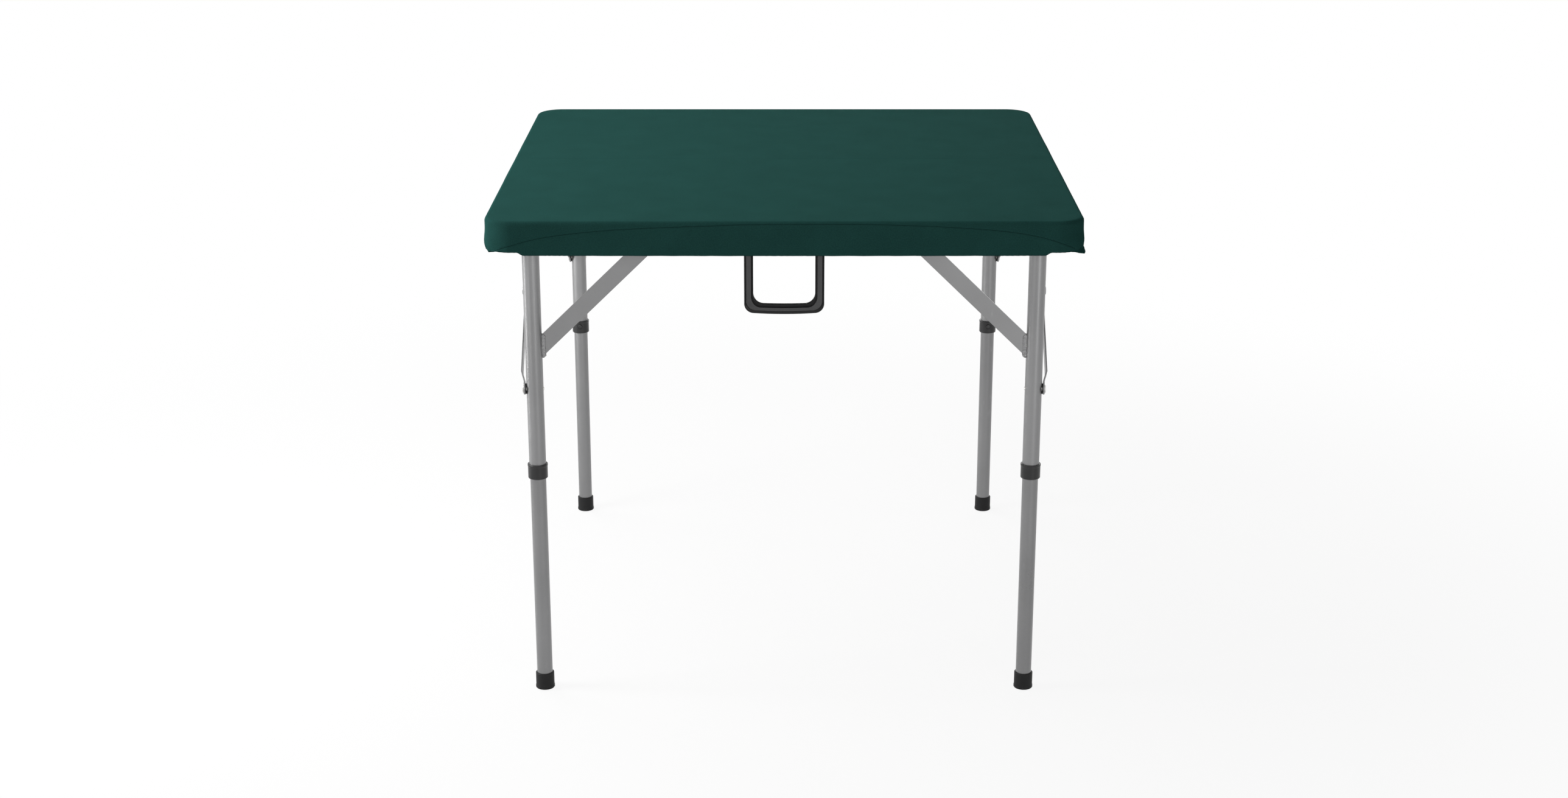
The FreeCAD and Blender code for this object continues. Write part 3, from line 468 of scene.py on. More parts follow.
# --- cover ------------------------------------------------------
# In the noise below, factors of a length set how fine it is. Bare numbers only pick its place.
FLAT_HALF = COVER_HALF - COVER_EDGE_R          # where the top starts to turn down
FLAT_R = COVER_CORNER_R - COVER_EDGE_R
STRAIGHT = FLAT_HALF - FLAT_R                  # half the length of a straight side
CORNER_T = STRAIGHT + COVER_CORNER_R * math.pi / 4
ROUND_LENGTH = COVER_EDGE_R * math.pi / 2
SIDES = {"front": Vector((0, -1)), "right": Vector((1, 0)), "rear": Vector((0, 1)), "left": Vector((-1, 0))}
# Each side's seam: where it meets the hem at its left and right, and its apex, seen from outside.
SEAM_ENDS = {
    "front": (-422 * MM, 430 * MM, 68 * MM),
    "right": (-425 * MM, 421 * MM, -8 * MM),
    "rear": (-422 * MM, 424 * MM, 10 * MM),
    "left": (-426 * MM, 420 * MM, -15 * MM),
}


def spaced(start, end, pitch):
    """Even steps from start up to, but without, end."""
    count = max(1, round(abs(end - start) / pitch))
    return [start + (end - start) * k / count for k in range(count)]


def grid_lines():
    """Places of the top's grid lines along one axis, closer at the fold and near the corners."""
    near_corner = STRAIGHT - CORNER_ZONE
    half = spaced(0, FOLD_ZONE, FOLD_STEP) + spaced(FOLD_ZONE, near_corner, MIDDLE_STEP)
    half += spaced(near_corner, STRAIGHT, CORNER_STEP) + spaced(STRAIGHT, FLAT_HALF, ROUND_STEP)
    half.append(FLAT_HALF)
    return [-v for v in reversed(half[1:])] + half


def onto_outline(x, y):
    """Bends the square grid's corner onto the rounded outline."""
    a, b = (abs(x) - STRAIGHT) / FLAT_R, (abs(y) - STRAIGHT) / FLAT_R
    if a <= 0 or b <= 0:
        return Vector((x, y))
    along_x = STRAIGHT + FLAT_R * a * math.sqrt(1 - b * b / 2)
    along_y = STRAIGHT + FLAT_R * b * math.sqrt(1 - a * a / 2)
    return Vector((math.copysign(along_x, x), math.copysign(along_y, y)))


def outward(point):
    """The outline's outward direction in plan, at a point on the edge of the flat top."""
    centre = Vector([math.copysign(min(abs(c), STRAIGHT), c) for c in point])
    off = point - centre
    if abs(point.x) <= STRAIGHT:
        return Vector((0, math.copysign(1, point.y)))
    if abs(point.y) <= STRAIGHT:
        return Vector((math.copysign(1, point.x), 0))
    return off.normalized()


def side_place(normal, point):
    """Which side an edge point is on, and its distance along that side from the middle."""
    side = max(SIDES, key=lambda name: SIDES[name].dot(normal))
    facing = SIDES[side]
    along = Vector((-facing.y, facing.x))
    turn = math.atan2(normal.dot(along), normal.dot(facing))
    return side, min(STRAIGHT, max(-STRAIGHT, point.dot(along))) + COVER_CORNER_R * turn


def hem_height(side, t):
    """Height of the hem along a side."""
    middle = HEM_LEG_Z - HEM_SAG * (1 - min(1, abs(t) / HEM_STEP[0]) ** 2)
    climb = smooth_step(abs(t), *HEM_STEP)
    uneven = noise.noise(Vector((t * 30, 7.3, 1.1 * len(side))))
    scallop = abs(math.sin(math.pi * t / SCALLOP_WAVE + 1.6 * uneven)) * (0.6 + 0.4 * uneven)
    return (1 - climb) * middle + climb * HEM_CORNER_Z - SCALLOP_DEPTH * scallop


def seam_height(side, t):
    """Height of the arched seam along a side, or below the hem where the arch has ended."""
    left, right, apex = SEAM_ENDS[side]
    share = (t - apex) / ((right - apex) if t > apex else (left - apex))
    drop = SEAM_BOW * share**2 + SEAM_HOOK * share**SEAM_HOOK_POWER
    waver = SEAM_WAVER * noise.noise(Vector((t * 14, 3.1, 2.7 * len(side))))
    return COVER_TOP - SEAM_TOP - drop + waver * (1 - min(1, share))


def drop_of(z):
    """Length of cloth from the flat top's edge down to a height on the side."""
    fall = COVER_TOP - z
    if fall >= COVER_EDGE_R:
        return ROUND_LENGTH + fall - COVER_EDGE_R
    return COVER_EDGE_R * math.acos(1 - fall / COVER_EDGE_R)


def edge_turn(s):
    """How far the cloth has turned down, at a length s from the flat top's edge."""
    return min(s, ROUND_LENGTH) / COVER_EDGE_R


class SidePoint:
    """One point of the top's outline, and the cloth that hangs from it."""

    def __init__(self, place):
        self.place = place
        self.normal = outward(place)
        self.side, self.t = side_place(self.normal, place)
        self.corner = CORNER_T - abs(self.t)        # distance from the corner's middle
        self.slack, low, self.slack_out = self.corner_slack()
        self.hem = hem_height(self.side, self.t) - low * self.slack
        self.length = drop_of(self.hem) - HEM_ROLL_R
        self.seam = min(drop_of(seam_height(self.side, self.t)), self.length - SEAM_GROOVE_HALF)

    def corner_slack(self):
        """Share of the slack cloth's fall here, and how low and how far out its tip is."""
        if self.place.y > 0 or self.corner > SLACK_REACH:
            return 0, 0, 0
        tip, to_front, to_side, low, out = SLACK["front_right" if self.place.x > 0 else "front_left"]
        past = (-self.corner if self.side == "front" else self.corner) - tip
        share = max(0, 1 - abs(past) / (to_side if past > 0 else to_front))
        return share**SLACK_POWER, low, out

    def seam_dent(self, s):
        """The seam's groove between two slight ridges. It fades out where the seam meets the hem."""
        off_seam = abs(s - self.seam) / SEAM_GROOVE_HALF
        depth = SEAM_GROOVE * smooth_step(self.length - self.seam, *SEAM_FADE)
        return depth * (SEAM_RIDGE * math.exp(-((off_seam - 1.5) ** 2) * 3) - math.exp(-(off_seam**2) * 3))

    def swell(self, s):
        """How far the cloth stands out from its plain shape, at a length s down it."""
        low = s / self.length
        around = self.t if self.side in ("front", "rear") else self.t + PUCKER_SHIFT * PUCKER_WAVE
        phase = 2 * math.pi * around / PUCKER_WAVE + 3 * noise.noise(self.at(s) * 25)
        pucker = PUCKER_DEPTH * hump(self.corner, PUCKER_REACH) * (0.5 + 0.5 * math.sin(phase))
        out = pucker * smooth_step(low, PUCKER_START, 1.0) ** 2
        out += CORNER_BAG * hump(self.corner, BAG_REACH) * hump(low - BAG_MIDDLE, BAG_SPREAD)
        creases = noise.noise(Vector((around * 55 + s * 60, s * 25, 4.0)))
        out += CREASE_DEPTH * hump(self.corner, CREASE_REACH) * max(0, creases)
        out += SKIRT_UNEVEN * noise.noise(Vector((around * 12, s * 20, 9.0)))
        out += self.seam_dent(s)
        if not self.slack:
            return max(out, -INWARD_MOST)
        above = self.at(s).z - HEM_CORNER_Z
        hung = smooth_step(above, SLACK_START, self.hem + HEM_ROLL_R - HEM_CORNER_Z)
        crease = SLACK_CREASE * hump(above - SLACK_CREASE_Z, SLACK_CREASE_HALF)
        out += self.slack * (self.slack_out * hung - crease)
        return max(out, min(0, self.slack_out) * hung - INWARD_MOST)

    def at(self, s):
        """The plain shape's point at a length s down the cloth."""
        turn = edge_turn(s)
        out = COVER_EDGE_R * math.sin(turn)
        z = COVER_TOP - COVER_EDGE_R * (1 - math.cos(turn)) - max(0, s - ROUND_LENGTH)
        plan = self.place + self.normal * out
        return Vector((plan.x, plan.y, z))

    def facing(self, s):
        """The plain shape's outward direction."""
        turn = edge_turn(s)
        return Vector((*(self.normal * math.sin(turn)), math.cos(turn)))

    def hanging(self, s):
        """The real cloth's point at a length s down it."""
        return self.at(s) + self.facing(s) * self.swell(s) * smooth_step(s, 0, ROUND_LENGTH)

    def turned_under(self, s):
        """The hem's roll and the band inside it, s past the roll's start."""
        start = self.hanging(self.length)
        inward = -Vector((*self.normal, 0))
        angle = min(s / HEM_ROLL_R, math.pi / 2)
        point = start + inward * HEM_ROLL_R * (1 - math.cos(angle))
        point -= Vector((0, 0, HEM_ROLL_R * math.sin(angle)))
        past = max(0, s - HEM_ROLL_R * math.pi / 2)
        gather = HEM_GATHER_DEPTH * math.sin(2 * math.pi * self.t / HEM_GATHER_WAVE)
        gather *= smooth_step(past, 1 * MM, HEM_TURN)
        return point + inward * past - Vector((0, 0, abs(gather)))

    def cloth_place(self, s):
        """The same point with the cloth laid out flat."""
        flat = self.place + self.normal * s
        return Vector((flat.x, flat.y, 0))

    def rows(self):
        """Lengths down the cloth, denser over the edge and at the seam."""
        groove = [self.seam + SEAM_GROOVE_HALF * k for k in SEAM_ROWS]
        above = [max(groove[0], 0) * (k / ROWS_ABOVE) ** ROW_CROWDING for k in range(1, ROWS_ABOVE)]
        under = self.length - groove[-1]
        below = [groove[-1] + under * (k / ROWS_BELOW) for k in range(1, ROWS_BELOW + 1)]
        return above + [min(max(g, 0.2 * MM), self.length) for g in groove] + below


def top_height(x, y):
    """The top is taut, with a slight unevenness and a faint dent over the fold."""
    inside = smooth_step(FLAT_HALF - max(abs(x), abs(y)), 0, TOP_BORDER)
    uneven = TOP_UNEVEN * noise.noise(Vector((x * 7, y * 7, 2.0)))
    dent = FOLD_DENT * hump(y, FOLD_DENT_HALF) * smooth_step(FLAT_HALF - abs(x), 0, FOLD_DENT_BORDER)
    return COVER_TOP + inside * (uneven - TOP_SETTLE) - dent


def outline_numbers(size):
    """Grid numbers round the square's edge, from the front left corner and on to the right."""
    last = size - 1
    edge = [(i, 0) for i in range(last)] + [(last, j) for j in range(last)]
    return edge + [(last - i, last) for i in range(last)] + [(0, last - j) for j in range(last)]


def cover_sides():
    """The top's edge points, all the way round."""
    lines = grid_lines()
    return [SidePoint(onto_outline(lines[i], lines[j])) for i, j in outline_numbers(len(lines))]


def top_grid(lines):
    """The top's points, their places on the flat cloth, and the faces between them."""
    size = len(lines)
    places = [Vector((*onto_outline(x, y), 0)) for y in lines for x in lines]
    points = [Vector((p.x, p.y, top_height(p.x, p.y))) for p in places]
    faces = [
        (j * size + i, j * size + i + 1, (j + 1) * size + i + 1, (j + 1) * size + i)
        for j in range(size - 1)
        for i in range(size - 1)
    ]
    return points, places, faces


def make_cover(sides):
    """The top's grid, then rows of cloth down to the hem and in under it."""
    lines = grid_lines()
    vertices, places, faces = top_grid(lines)
    row = [j * len(lines) + i for i, j in outline_numbers(len(lines))]
    lengths = [side.rows() for side in sides]
    roll = HEM_ROLL_R * math.pi / 2
    under = [roll * k / ROLL_ROWS for k in range(1, ROLL_ROWS + 1)]
    under += [roll + HEM_TURN * k / TURN_ROWS for k in range(1, TURN_ROWS + 1)]
    hem_start = 0
    for k in range(len(lengths[0]) + len(under)):
        start = len(vertices)
        for side, rows in zip(sides, lengths):
            if k < len(rows):
                vertices.append(side.hanging(rows[k]))
                places.append(side.cloth_place(rows[k]))
            else:
                s = under[k - len(rows)]
                vertices.append(side.turned_under(s))
                places.append(side.cloth_place(side.length + s))
        next_row = list(range(start, start + len(sides)))
        if k == len(lengths[0]):
            hem_start = len(faces)
        bridge(faces, row, next_row)
        row = next_row
    cover = new_piece("table_cover_cloth", vertices, faces, CLOTH, "cover_cloth")
    cover.data.materials.append(HEM_CLOTH)
    for face in cover.data.polygons[hem_start:]:
        face.material_index = 1
    attribute = cover.data.attributes.new("cloth_place", "FLOAT_VECTOR", "POINT")
    attribute.data.foreach_set("vector", [c for p in places for c in p])
    fix_normals(cover)
    thick = cover.modifiers.new("thickness", "SOLIDIFY")
    thick.thickness = CLOTH_THICK
    thick.offset = -1
    apply_modifiers(cover)
    cover.data.shade_smooth()
    return cover


def capsule(start, end, facing, radius):
    """A short thread between two points, lying on a surface that faces outward."""
    along = (end - start).normalized()
    across = facing.cross(along).normalized()
    turns = angles_round(STITCH_SIDES)
    rings = []
    for share, size in STITCH_PROFILE:
        centre = start.lerp(end, share)
        rings.append([
            centre + size * radius * (across * math.cos(a) + facing * math.sin(a)) for a in turns
        ])
    return swept(rings)


def seam_track(sides):
    """Runs of points along each side's seam, on the cloth, with the way they face."""
    runs = []
    for name in SIDES:
        left, right, _ = SEAM_ENDS[name]
        run = [s for s in sides if s.side == name and left + SEAM_INSET < s.t < right - SEAM_INSET]
        run.sort(key=lambda s: s.t)
        points = []
        for side in run:
            facing = side.facing(side.seam)
            points.append((side.hanging(side.seam) + facing * STITCH_LIFT, facing))
        runs.append(points)
    return runs


def walk(points, pitch):
    """Points at an even pitch along a polyline of (place, facing) pairs."""
    found, ahead = [], 0.0
    for (a, facing_a), (b, facing_b) in zip(points, points[1:]):
        length = (b - a).length
        while ahead < length:
            share = ahead / length
            found.append((a.lerp(b, share), facing_a.lerp(facing_b, share).normalized()))
            ahead += pitch
        ahead -= length
    return found


def make_stitching(sides):
    """A thread for each stitch of the four seams."""
    parts = []
    share = STITCH_LENGTH / STITCH_PITCH
    for run in seam_track(sides):
        places = walk(run, STITCH_PITCH)
        for (place, facing), (following, _) in zip(places, places[1:]):
            parts.append(capsule(place, place.lerp(following, share), facing, STITCH_R))
    stitching = new_piece("cover_stitching", *merged(parts), THREAD, "cover_cloth")
    fix_normals(stitching)
    return stitching


# --- handle -----------------------------------------------------
HANDLE_Y = (HANDLE_LOW.y + HANDLE_HIGH.y) / 2
HANDLE_Z = HANDLE_HIGH.z - KNUCKLE_R
# Across an arm, from its outer edge to its middle: (share of the width, half thickness).
HANDLE_SECTION = (
    (0.0, 1.4 * MM), (0.015, 2.6 * MM), (0.05, 3.4 * MM), (0.08, 3.6 * MM), (0.115, 3.6 * MM),
    (0.14, 3.0 * MM), (0.19, 3.0 * MM), (0.215, 4.5 * MM), (0.245, 5.1 * MM), (0.28, 5.3 * MM),
    (0.5, 5.3 * MM),
)
HANDLE_FLANGE = 0.13             # share of the width, outside the groove
HANDLE_FACE_START = 0.24         # share of the width, where the rib's face begins
HANDLE_NARROWER = 0.4            # the rib, at the grip


def handle_edges():
    """Outer and inner (x, z) points of the U and their share of the grip, from left to right."""
    low = HANDLE_LOW.z + HANDLE_BOW
    high = low + HANDLE_GRIP
    inner_half = HANDLE_HALF - HANDLE_ARM
    outer_end, inner_end = low + HANDLE_OUTER_R, high + HANDLE_INNER_R
    pairs = []
    for k in range(ARM_STEPS):
        share = k / ARM_STEPS
        pairs.append((
            (-HANDLE_HALF, HANDLE_Z + (outer_end - HANDLE_Z) * share),
            (-inner_half, HANDLE_Z + (inner_end - HANDLE_Z) * share),
            0,
        ))
    for k in range(BEND_STEPS + 1):
        a = math.pi / 2 * k / BEND_STEPS
        across, down = 1 - math.cos(a), 1 - math.sin(a)
        pairs.append((
            (-HANDLE_HALF + HANDLE_OUTER_R * across, low + HANDLE_OUTER_R * down),
            (-inner_half + HANDLE_INNER_R * across, high + HANDLE_INNER_R * down),
            k / BEND_STEPS,
        ))
    outer_x, inner_x = HANDLE_HALF - HANDLE_OUTER_R, inner_half - HANDLE_INNER_R
    for k in range(1, GRIP_STEPS):
        share = k / GRIP_STEPS
        sag = HANDLE_BOW * (1 - (1 - share) ** 2)
        pairs.append(((-outer_x * (1 - share), low - sag), (-inner_x * (1 - share), high - sag / 3), 1))
    middle = [((0, low - HANDLE_BOW), (0, high - HANDLE_BOW / 3), 1)]
    mirrored = [((-ox, oz), (-ix, iz), grip) for (ox, oz), (ix, iz), grip in reversed(pairs)]
    return pairs + middle + mirrored


def handle_knuckles():
    """The round end of each arm, and the pin that turns in the mount."""
    parts = []
    arm, chamfer = HANDLE_ARM, KNUCKLE_CHAMFER
    shoulder = KNUCKLE_R - chamfer
    knuckle = [(0, 0), (shoulder, 0), (KNUCKLE_R, chamfer)]
    knuckle += [(KNUCKLE_R, arm - chamfer), (shoulder, arm), (0, arm)]
    end = HANDLE_HIGH.x - (HANDLE_HALF - arm)
    pin = [(0, arm), (HANDLE_PIN_R, arm), (HANDLE_PIN_R, end - HANDLE_PIN_CHAMFER)]
    pin += [(HANDLE_PIN_R - HANDLE_PIN_CHAMFER, end), (0, end)]
    for side in (-1, 1):
        inner = Vector((side * (HANDLE_HALF - arm), HANDLE_Y, HANDLE_Z))
        parts += [revolve(profile, inner, (side, 0, 0)) for profile in (knuckle, pin)]
    return parts


def make_handle():
    half = list(HANDLE_SECTION)
    across = half + [(1 - share, thick) for share, thick in reversed(half[:-1])]
    loop = across + [(share, -thick) for share, thick in reversed(across)]
    rings = []
    for outer, inner, grip in handle_edges():
        a, b = Vector((outer[0], HANDLE_Y, outer[1])), Vector((inner[0], HANDLE_Y, inner[1]))
        ring = []
        for share, thick in loop:
            if HANDLE_FLANGE < share < 1 - HANDLE_FLANGE:
                share = 0.5 + (share - 0.5) * (1 - HANDLE_NARROWER * grip)
            ring.append(a.lerp(b, share) + Vector((0, thick, 0)))
        rings.append(ring)
    parts = [swept(rings)] + handle_knuckles()
    handle = new_piece("handle_bail", *merged(parts), HANDLE_EDGE_PAINTED_DARK, "black_plastic")
    handle.data.materials.append(HANDLE_FACE)
    # The rib's face takes the lighter grey finish. The flanges and knuckles keep the painted dark
    # reflection.
    for face in handle.data.polygons[:(len(rings) - 1) * len(loop)]:
        ends = [loop[(face.index + step) % len(loop)][0] for step in (0, 1)]
        if min(ends) > HANDLE_FACE_START and max(ends) < 1 - HANDLE_FACE_START:
            face.material_index = 1
    fix_normals(handle)
    round_edges(handle, HANDLE_EDGE_R)
    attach(handle, "carry_handle")
    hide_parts("carry_handle")


def round_edges(piece, width):
    """Small rounded edges that catch the light, on a carried-over node or a new piece."""
    if "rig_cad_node" in piece:
        piece.modifiers.new("weld", "WELD").merge_threshold = 1e-6
    bevel = piece.modifiers.new("edges", "BEVEL")
    bevel.width = width
    bevel.segments = 2
    bevel.limit_method = "ANGLE"
    bevel.angle_limit = math.radians(EDGE_ANGLE)
    bevel.use_clamp_overlap = True
    piece.modifiers.new("normals", "WEIGHTED_NORMAL").keep_sharp = False


# --- welds ------------------------------------------------------
def bead(points, radius, seed, closed=False):
    """A lumpy run of weld along a line of points."""
    rings = []
    count = len(points)
    flat = 1.0 if closed else WELD_FLAT
    for k, point in enumerate(points):
        before, after = points[(k - 1) % count], points[(k + 1) % count]
        if not closed:
            before, after = points[max(k - 1, 0)], points[min(k + 1, count - 1)]
        along = (after - before).normalized()
        across = along.orthogonal().normalized()
        other = along.cross(across)
        end = 1.0 if closed else min(1.0, WELD_END + WELD_END_STEP * min(k, count - 1 - k))
        ripple = 1 + WELD_RIPPLE * math.sin(k * WELD_RIPPLE_STEP + seed)
        ring = []
        for a in angles_round(WELD_STEPS):
            facing = across * math.cos(a) + other * math.sin(a)
            spot = (point + facing * radius) * WELD_LUMP_SCALE + Vector((seed, 0, 0))
            offset = facing * radius * end * ripple * (1 + WELD_LUMP * noise.noise(spot))
            offset.y *= flat
            ring.append(point + offset)
        rings.append(ring)
    return swept(rings, close_path=closed)


def weld_lines(half, side):
    """Weld runs of a gusset and a leg, as (points, radius, closed): two at the leg, two at the
    crossbar, and one round the crossbar on each side of the leg."""
    leg_low, leg_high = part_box(f"upper_leg_{half}_{side}")
    bar_low, bar_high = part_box(f"crossbar_{half}")
    gusset_low, gusset_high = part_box(f"gusset_{half}_{side}")
    leg_x, leg_y = (leg_low.x + leg_high.x) / 2, (leg_low.y + leg_high.y) / 2
    leg_r, bar_r = (leg_high.x - leg_low.x) / 2, (bar_high.z - bar_low.z) / 2
    bar_z = (bar_low.z + bar_high.z) / 2
    inward = -math.copysign(1, leg_x)
    face = (gusset_high.y - gusset_low.y) / 2
    foot_x = leg_x + inward * (leg_r + LEG_WELD_OFF)
    far_x = gusset_low.x if inward < 0 else gusset_high.x
    bar_weld_z = bar_z - bar_r - BAR_WELD_OFF
    rise = (LEG_WELD_LENGTH + 2 * LEG_WELD_PAST) / LEG_WELD_STEPS
    heights = [gusset_low.z - LEG_WELD_PAST + rise * k for k in range(LEG_WELD_STEPS + 1)]
    reach = [far_x - inward * BAR_WELD_LENGTH * k / BAR_WELD_STEPS for k in range(BAR_WELD_STEPS + 1)]
    lines = []
    for y in (leg_y - face, leg_y + face):
        lines.append(([Vector((foot_x, y, z)) for z in heights], LEG_WELD_R, False))
        lines.append(([Vector((x, y, bar_weld_z)) for x in reach], BAR_WELD_R, False))
    for way in (-1, 1):
        ring = []
        for a in angles_round(RING_WELD_STEPS):
            off = bar_r * math.cos(a)
            x = leg_x + way * math.sqrt(leg_r**2 - off**2)
            ring.append(Vector((x, leg_y + off, bar_z + bar_r * math.sin(a))))
        lines.append((ring, RING_WELD_R, True))
    return lines


def clear_of_bore(point, axis, radius):
    """A weld's point, moved out into the leg's wall if it lies in the lower leg's way."""
    away = Vector((point.x - axis.x, point.y - axis.y, 0))
    if away.length >= radius:
        return point
    return Vector((axis.x, axis.y, point.z)) + away.normalized() * radius


def make_welds():
    """One piece of beads for each leg frame."""
    for half in ("front", "rear"):
        parts = []
        for side in ("left", "right"):
            low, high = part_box(f"upper_leg_{half}_{side}")
            axis, wall = (low + high) / 2, (high.x - low.x) / 2 - WELD_SINK
            for number, (line, radius, closed) in enumerate(weld_lines(half, side)):
                corners, faces = bead(line, radius, 1.7 * number + len(side), closed)
                parts.append(([clear_of_bore(corner, axis, wall) for corner in corners], faces))
        welds = new_piece(f"weld_beads_{half}", *merged(parts), WELD, "grey_steel")
        fix_normals(welds)
        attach(welds, f"{half}_leg_frame")


# --- snap clips -------------------------------------------------
def clip_line(seat, reach, low, high):
    """Centre line of a V spring, as (off the leg's axis, height). The button's leaf is at seat, and
    the far leaf at reach on the other side."""
    middle = (low + high) / 2
    line = [(seat, high), (seat, middle)]
    for k in range(CLIP_NOSE_STEPS + 1):
        a = math.pi * k / CLIP_NOSE_STEPS
        line.append((CLIP_NOSE_R * math.cos(a), low + CLIP_NOSE_R * (1 - math.sin(a)) + CLIP_THICK / 2))
    return line + [(-reach, middle), (-reach, high)]


def clip_spring(line, half_width):
    """A flat strip of the clip's thickness along a line of (off the leg's axis, height)."""
    width = Vector((half_width, 0, 0))
    rings = []
    for k, (off, z) in enumerate(line):
        before, after = line[max(k - 1, 0)], line[min(k + 1, len(line) - 1)]
        run = Vector((0, after[0] - before[0], after[1] - before[1])).normalized()
        side = Vector((0, run.z, -run.y)) * CLIP_THICK / 2
        centre = Vector((0, off, z))
        corners = (side + width, width - side, -side - width, side - width)
        rings.append([centre + corner for corner in corners])
    return rings


def make_clips():
    """Snap clips whose far leaf leaves room in the tube for the button's travel."""
    joints = frame["record"]["behaviour"]["joints"]
    travel = {joint["child"]: joint["range_m"][1] for joint in joints if "range_m" in joint}
    for node in sorted(name for name in frame["nodes"] if name.startswith("snap_clip_")):
        low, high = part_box(node)
        tube_low, tube_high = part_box(node.replace("snap_clip", "lower_leg"))
        leg_y = (tube_low.y + tube_high.y) / 2
        facing = 1 if high.y - leg_y > leg_y - low.y else -1
        seat = min(high.y - leg_y, leg_y - low.y) - CLIP_THICK / 2
        length = max(high.y - leg_y, leg_y - low.y) - seat
        x = (low.x + high.x) / 2
        strip = clip_spring(clip_line(seat, seat - travel[node], low.z, high.z), (high.x - low.x) / 2)
        rings = [[Vector((x + p.x, leg_y + facing * p.y, p.z)) for p in ring] for ring in strip]
        profile = [(BUTTON_R, 0)] + [(BUTTON_R - inset, length - back) for inset, back in BUTTON_DOME]
        start = (x, leg_y + facing * seat, high.z - 2 * BUTTON_R)
        button = revolve(profile, start, (0, facing, 0), segments=32)
        name = node.replace("clip", "spring")
        clip = new_piece(name, *merged([swept(rings), button]), DARK_STEEL, "dark_steel")
        fix_normals(clip)
        round_edges(clip, CLIP_EDGE_R)
        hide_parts(node)
        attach(clip, node)


# --- carried-over nodes -----------------------------------------
FINISHES = {
    "panel_plastic": PANEL,
    "grey_steel": STEEL,
    "bright_steel": PLATED,
    "dark_steel": DARK_STEEL,
    "black_plastic": BLACK,
}
OWN_FINISHES = {"foot": RUBBER, "lower_leg": LOWER_STEEL}
EDGE_WIDTHS = {
    "gusset": 0.45 * MM, "brace": 0.4 * MM, "hinge_leaf": 0.35 * MM, "rail_front": 0.3 * MM,
    "rail_rear": 0.3 * MM, "panel": 1.2 * MM, "foot": 0.4 * MM,
    "handle_mount": 0.4 * MM, "upper_leg": 0.12 * MM, "lower_leg": 0.15 * MM,
    "brace_rivets": 0.5 * MM, "leg_studs": 0.5 * MM, "rail_screws": 0.5 * MM, "hinge_pins": 0.4 * MM,
    "leg_washers": 0.2 * MM, "pivot_bushes": 0.3 * MM, "leg_caps": 0.3 * MM,
}


def dress_nodes():
    """Finishes and rounded edges for the CAD nodes."""
    slots = {p["node"]: p["material_slot"] for p in frame["record"]["subparts"]}
    for name, node in frame["nodes"].items():
        finish = FINISHES.get(slots.get(name))
        for start, own_finish in OWN_FINISHES.items():
            if name.startswith(start):
                finish = own_finish
        if finish is None:
            continue
        for place in node.material_slots:
            place.material = finish
        for start, width in EDGE_WIDTHS.items():
            if name.startswith(start):
                round_edges(node, width)


# --- stage, light and camera ------------------------------------
def background_ray(tree):
    """1 where the ray comes from the camera or from a gloss or glass surface."""
    path = tree.nodes.new("ShaderNodeLightPath")
    last = path.outputs["Is Camera Ray"]
    for name in ("Is Glossy Ray", "Is Transmission Ray"):
        most = tree.nodes.new("ShaderNodeMath")
        most.operation = "MAXIMUM"
        tree.links.new(last, most.inputs[0])
        tree.links.new(path.outputs[name], most.inputs[1])
        last = most.outputs[0]
    return last


WORLD_LIGHT = 0.0                # on what isn't seen directly or in a reflection
FLOOR_RADIUS = 9.0
FLOOR_SIDES = 96
FLOOR_Z = -0.2 * MM
SHADOW_SHARE = 0.10              # of the floor's look that comes from the light on it
SHADOW_FADE = (0.9, 2.2)         # metres from the middle, where that share ends


def make_world():
    world = bpy.data.worlds.new("studio")
    bpy.context.scene.world = world
    world.use_nodes = True
    tree = world.node_tree
    shader = tree.nodes["Background"]
    mix = tree.nodes.new("ShaderNodeMapRange")
    mix.inputs["To Min"].default_value = WORLD_LIGHT
    mix.inputs["To Max"].default_value = 1.0
    tree.links.new(background_ray(tree), mix.inputs["Value"])
    tree.links.new(mix.outputs["Result"], shader.inputs["Strength"])
    shader.inputs["Color"].default_value = (1, 1, 1, 1)


def floor_material():
    """Plain white, with a share of the light that falls on it near the object."""
    material = bpy.data.materials.new("floor")
    material.use_nodes = True
    tree = material.node_tree
    tree.nodes.clear()
    white = tree.nodes.new("ShaderNodeEmission")
    white.inputs["Strength"].default_value = 1.0
    lit = tree.nodes.new("ShaderNodeBsdfDiffuse")
    lit.inputs["Color"].default_value = (0.95, 0.95, 0.95, 1)
    spot = tree.nodes.new("ShaderNodeTexCoord")
    distance = tree.nodes.new("ShaderNodeVectorMath")
    distance.operation = "LENGTH"
    tree.links.new(spot.outputs["Object"], distance.inputs[0])
    fade = tree.nodes.new("ShaderNodeMapRange")
    fade.interpolation_type = "SMOOTHSTEP"
    fade.inputs["From Min"].default_value, fade.inputs["From Max"].default_value = SHADOW_FADE
    fade.inputs["To Min"].default_value = 1 - SHADOW_SHARE
    fade.inputs["To Max"].default_value = 1.0
    tree.links.new(distance.outputs["Value"], fade.inputs["Value"])
    share = tree.nodes.new("ShaderNodeMath")
    share.operation = "MULTIPLY"
    tree.links.new(fade.outputs["Result"], share.inputs[0])
    tree.links.new(background_ray(tree), share.inputs[1])
    mix = tree.nodes.new("ShaderNodeMixShader")
    tree.links.new(share.outputs[0], mix.inputs["Fac"])
    tree.links.new(lit.outputs[0], mix.inputs[1])
    tree.links.new(white.outputs[0], mix.inputs[2])
    out = tree.nodes.new("ShaderNodeOutputMaterial")
    tree.links.new(mix.outputs[0], out.inputs["Surface"])
    return material


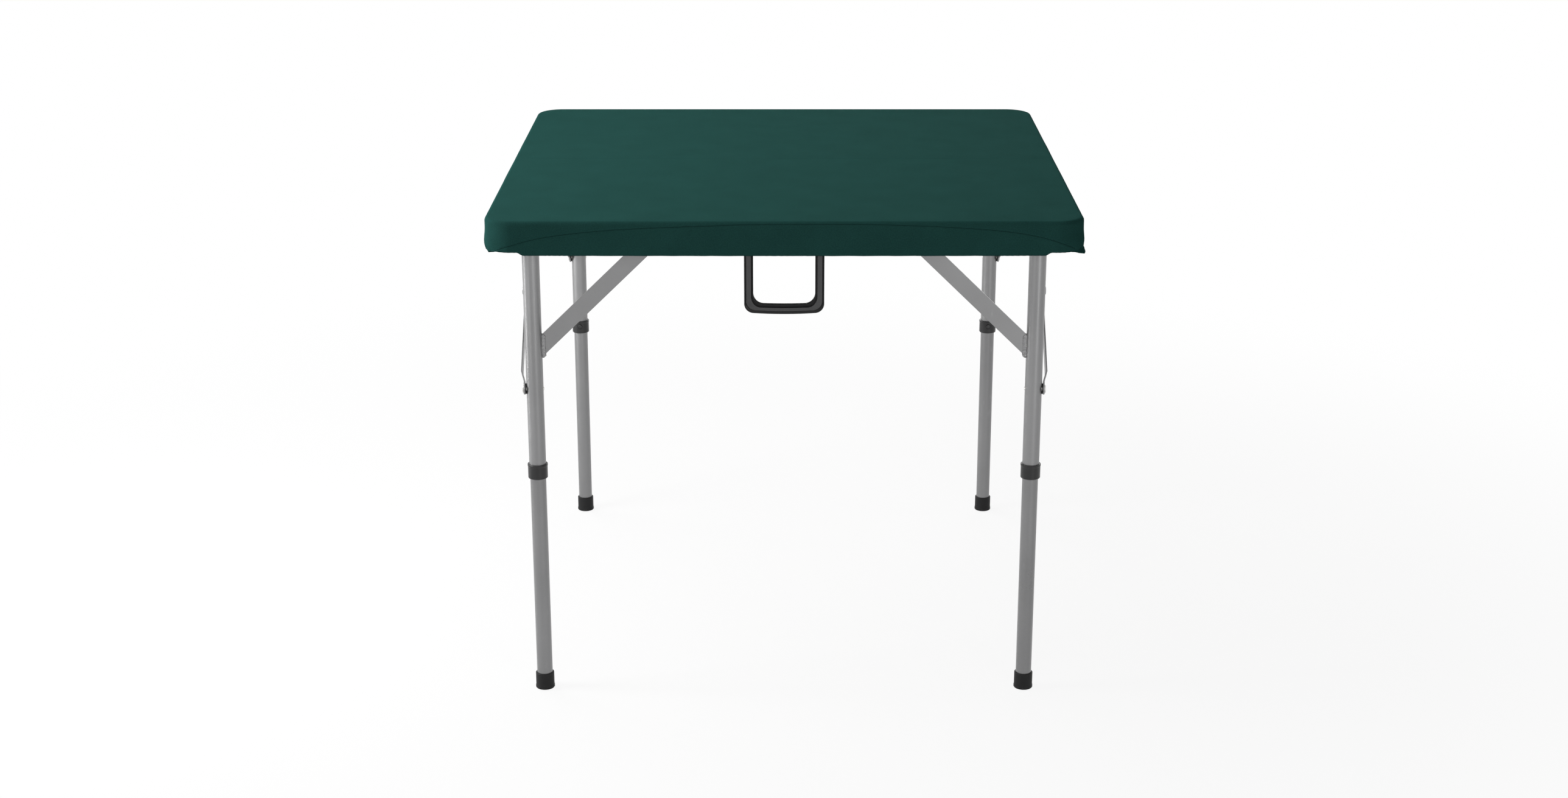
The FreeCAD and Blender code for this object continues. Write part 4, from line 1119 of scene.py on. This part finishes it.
def make_floor():
    """A white disc that takes the object's shadow."""
    turns = angles_round(FLOOR_SIDES)
    rim = [Vector((FLOOR_RADIUS * math.cos(a), FLOOR_RADIUS * math.sin(a), FLOOR_Z)) for a in turns]
    floor = new_piece("floor", rim, [tuple(range(FLOOR_SIDES))], floor_material(), "cover_cloth")


# Each softbox: where it stands, its size in metres and its power in watts. All face the upper legs.
SOFTBOXES = {
    "left_strip": ((-2.4, -0.2, 1.0), (0.5, 2.0), 14.0),
    "left_high": ((-1.7, -0.5, 1.5), (0.5, 0.9), 16.4),
    "left_low": ((-2.1, -0.3, 0.4), (0.3, 0.7), 4.6),
    "front": ((-0.4, -4.2, 2.4), (2.4, 1.6), 22.0),
    "front_left_low": ((-1.9, -2.4, 0.35), (0.35, 0.6), 3.0),
    "front_right_low": ((1.5, -3.0, 0.3), (0.5, 0.5), 3.6),
    "front_right": ((1.7, -3.9, 0.9), (0.6, 1.8), 21.0),
    "rear_left": ((-1.8, 1.8, 2.4), (2.0, 2.0), 44.0),
    "overhead": ((-0.6, -0.1, 2.5), (1.2, 1.2), 12.0),
    "rear": ((0.9, 3.2, 1.3), (2.0, 1.6), 22.0),
    "right": ((3.4, 0.9, 1.3), (1.2, 1.4), 5.0),
}
LIGHT_TARGET = (0, 0, 0.55)


def make_lights():
    target = Vector(LIGHT_TARGET)
    for name, (place, (width, height), power) in SOFTBOXES.items():
        light = bpy.data.lights.new(name, "AREA")
        light.shape = "RECTANGLE"
        light.size, light.size_y = width, height
        light.energy = power
        lamp = bpy.data.objects.new(name, light)
        lamp.location = place
        lamp.visible_camera = False
        lamp.rotation_euler = (target - Vector(place)).to_track_quat("-Z", "Y").to_euler()
        bpy.context.scene.collection.objects.link(lamp)


def make_camera():
    data = bpy.data.cameras.new("camera")
    data.sensor_width = SENSOR_WIDTH
    data.lens = FOCAL_LENGTH / IMAGE_WIDTH * SENSOR_WIDTH
    data.shift_y = CAMERA_SHIFT / IMAGE_WIDTH
    data.clip_start = 0.01
    data.clip_end = 60
    camera = bpy.data.objects.new("camera", data)
    camera.location = CAMERA_PLACE
    camera.rotation_euler = (math.radians(90 - CAMERA_PITCH), 0, 0)
    bpy.context.scene.collection.objects.link(camera)
    bpy.context.scene.camera = camera


# --- the scene --------------------------------------------------
bpy.context.scene.view_settings.view_transform = "Standard"
make_world()
make_floor()
make_lights()
make_camera()
dress_nodes()
make_handle()
make_welds()
make_clips()

cover_edge = cover_sides()
cover_piece = make_cover(cover_edge)
stitching = make_stitching(cover_edge)
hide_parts("table_cover")
for cloth_piece in (cover_piece, stitching):
    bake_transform(cloth_piece)
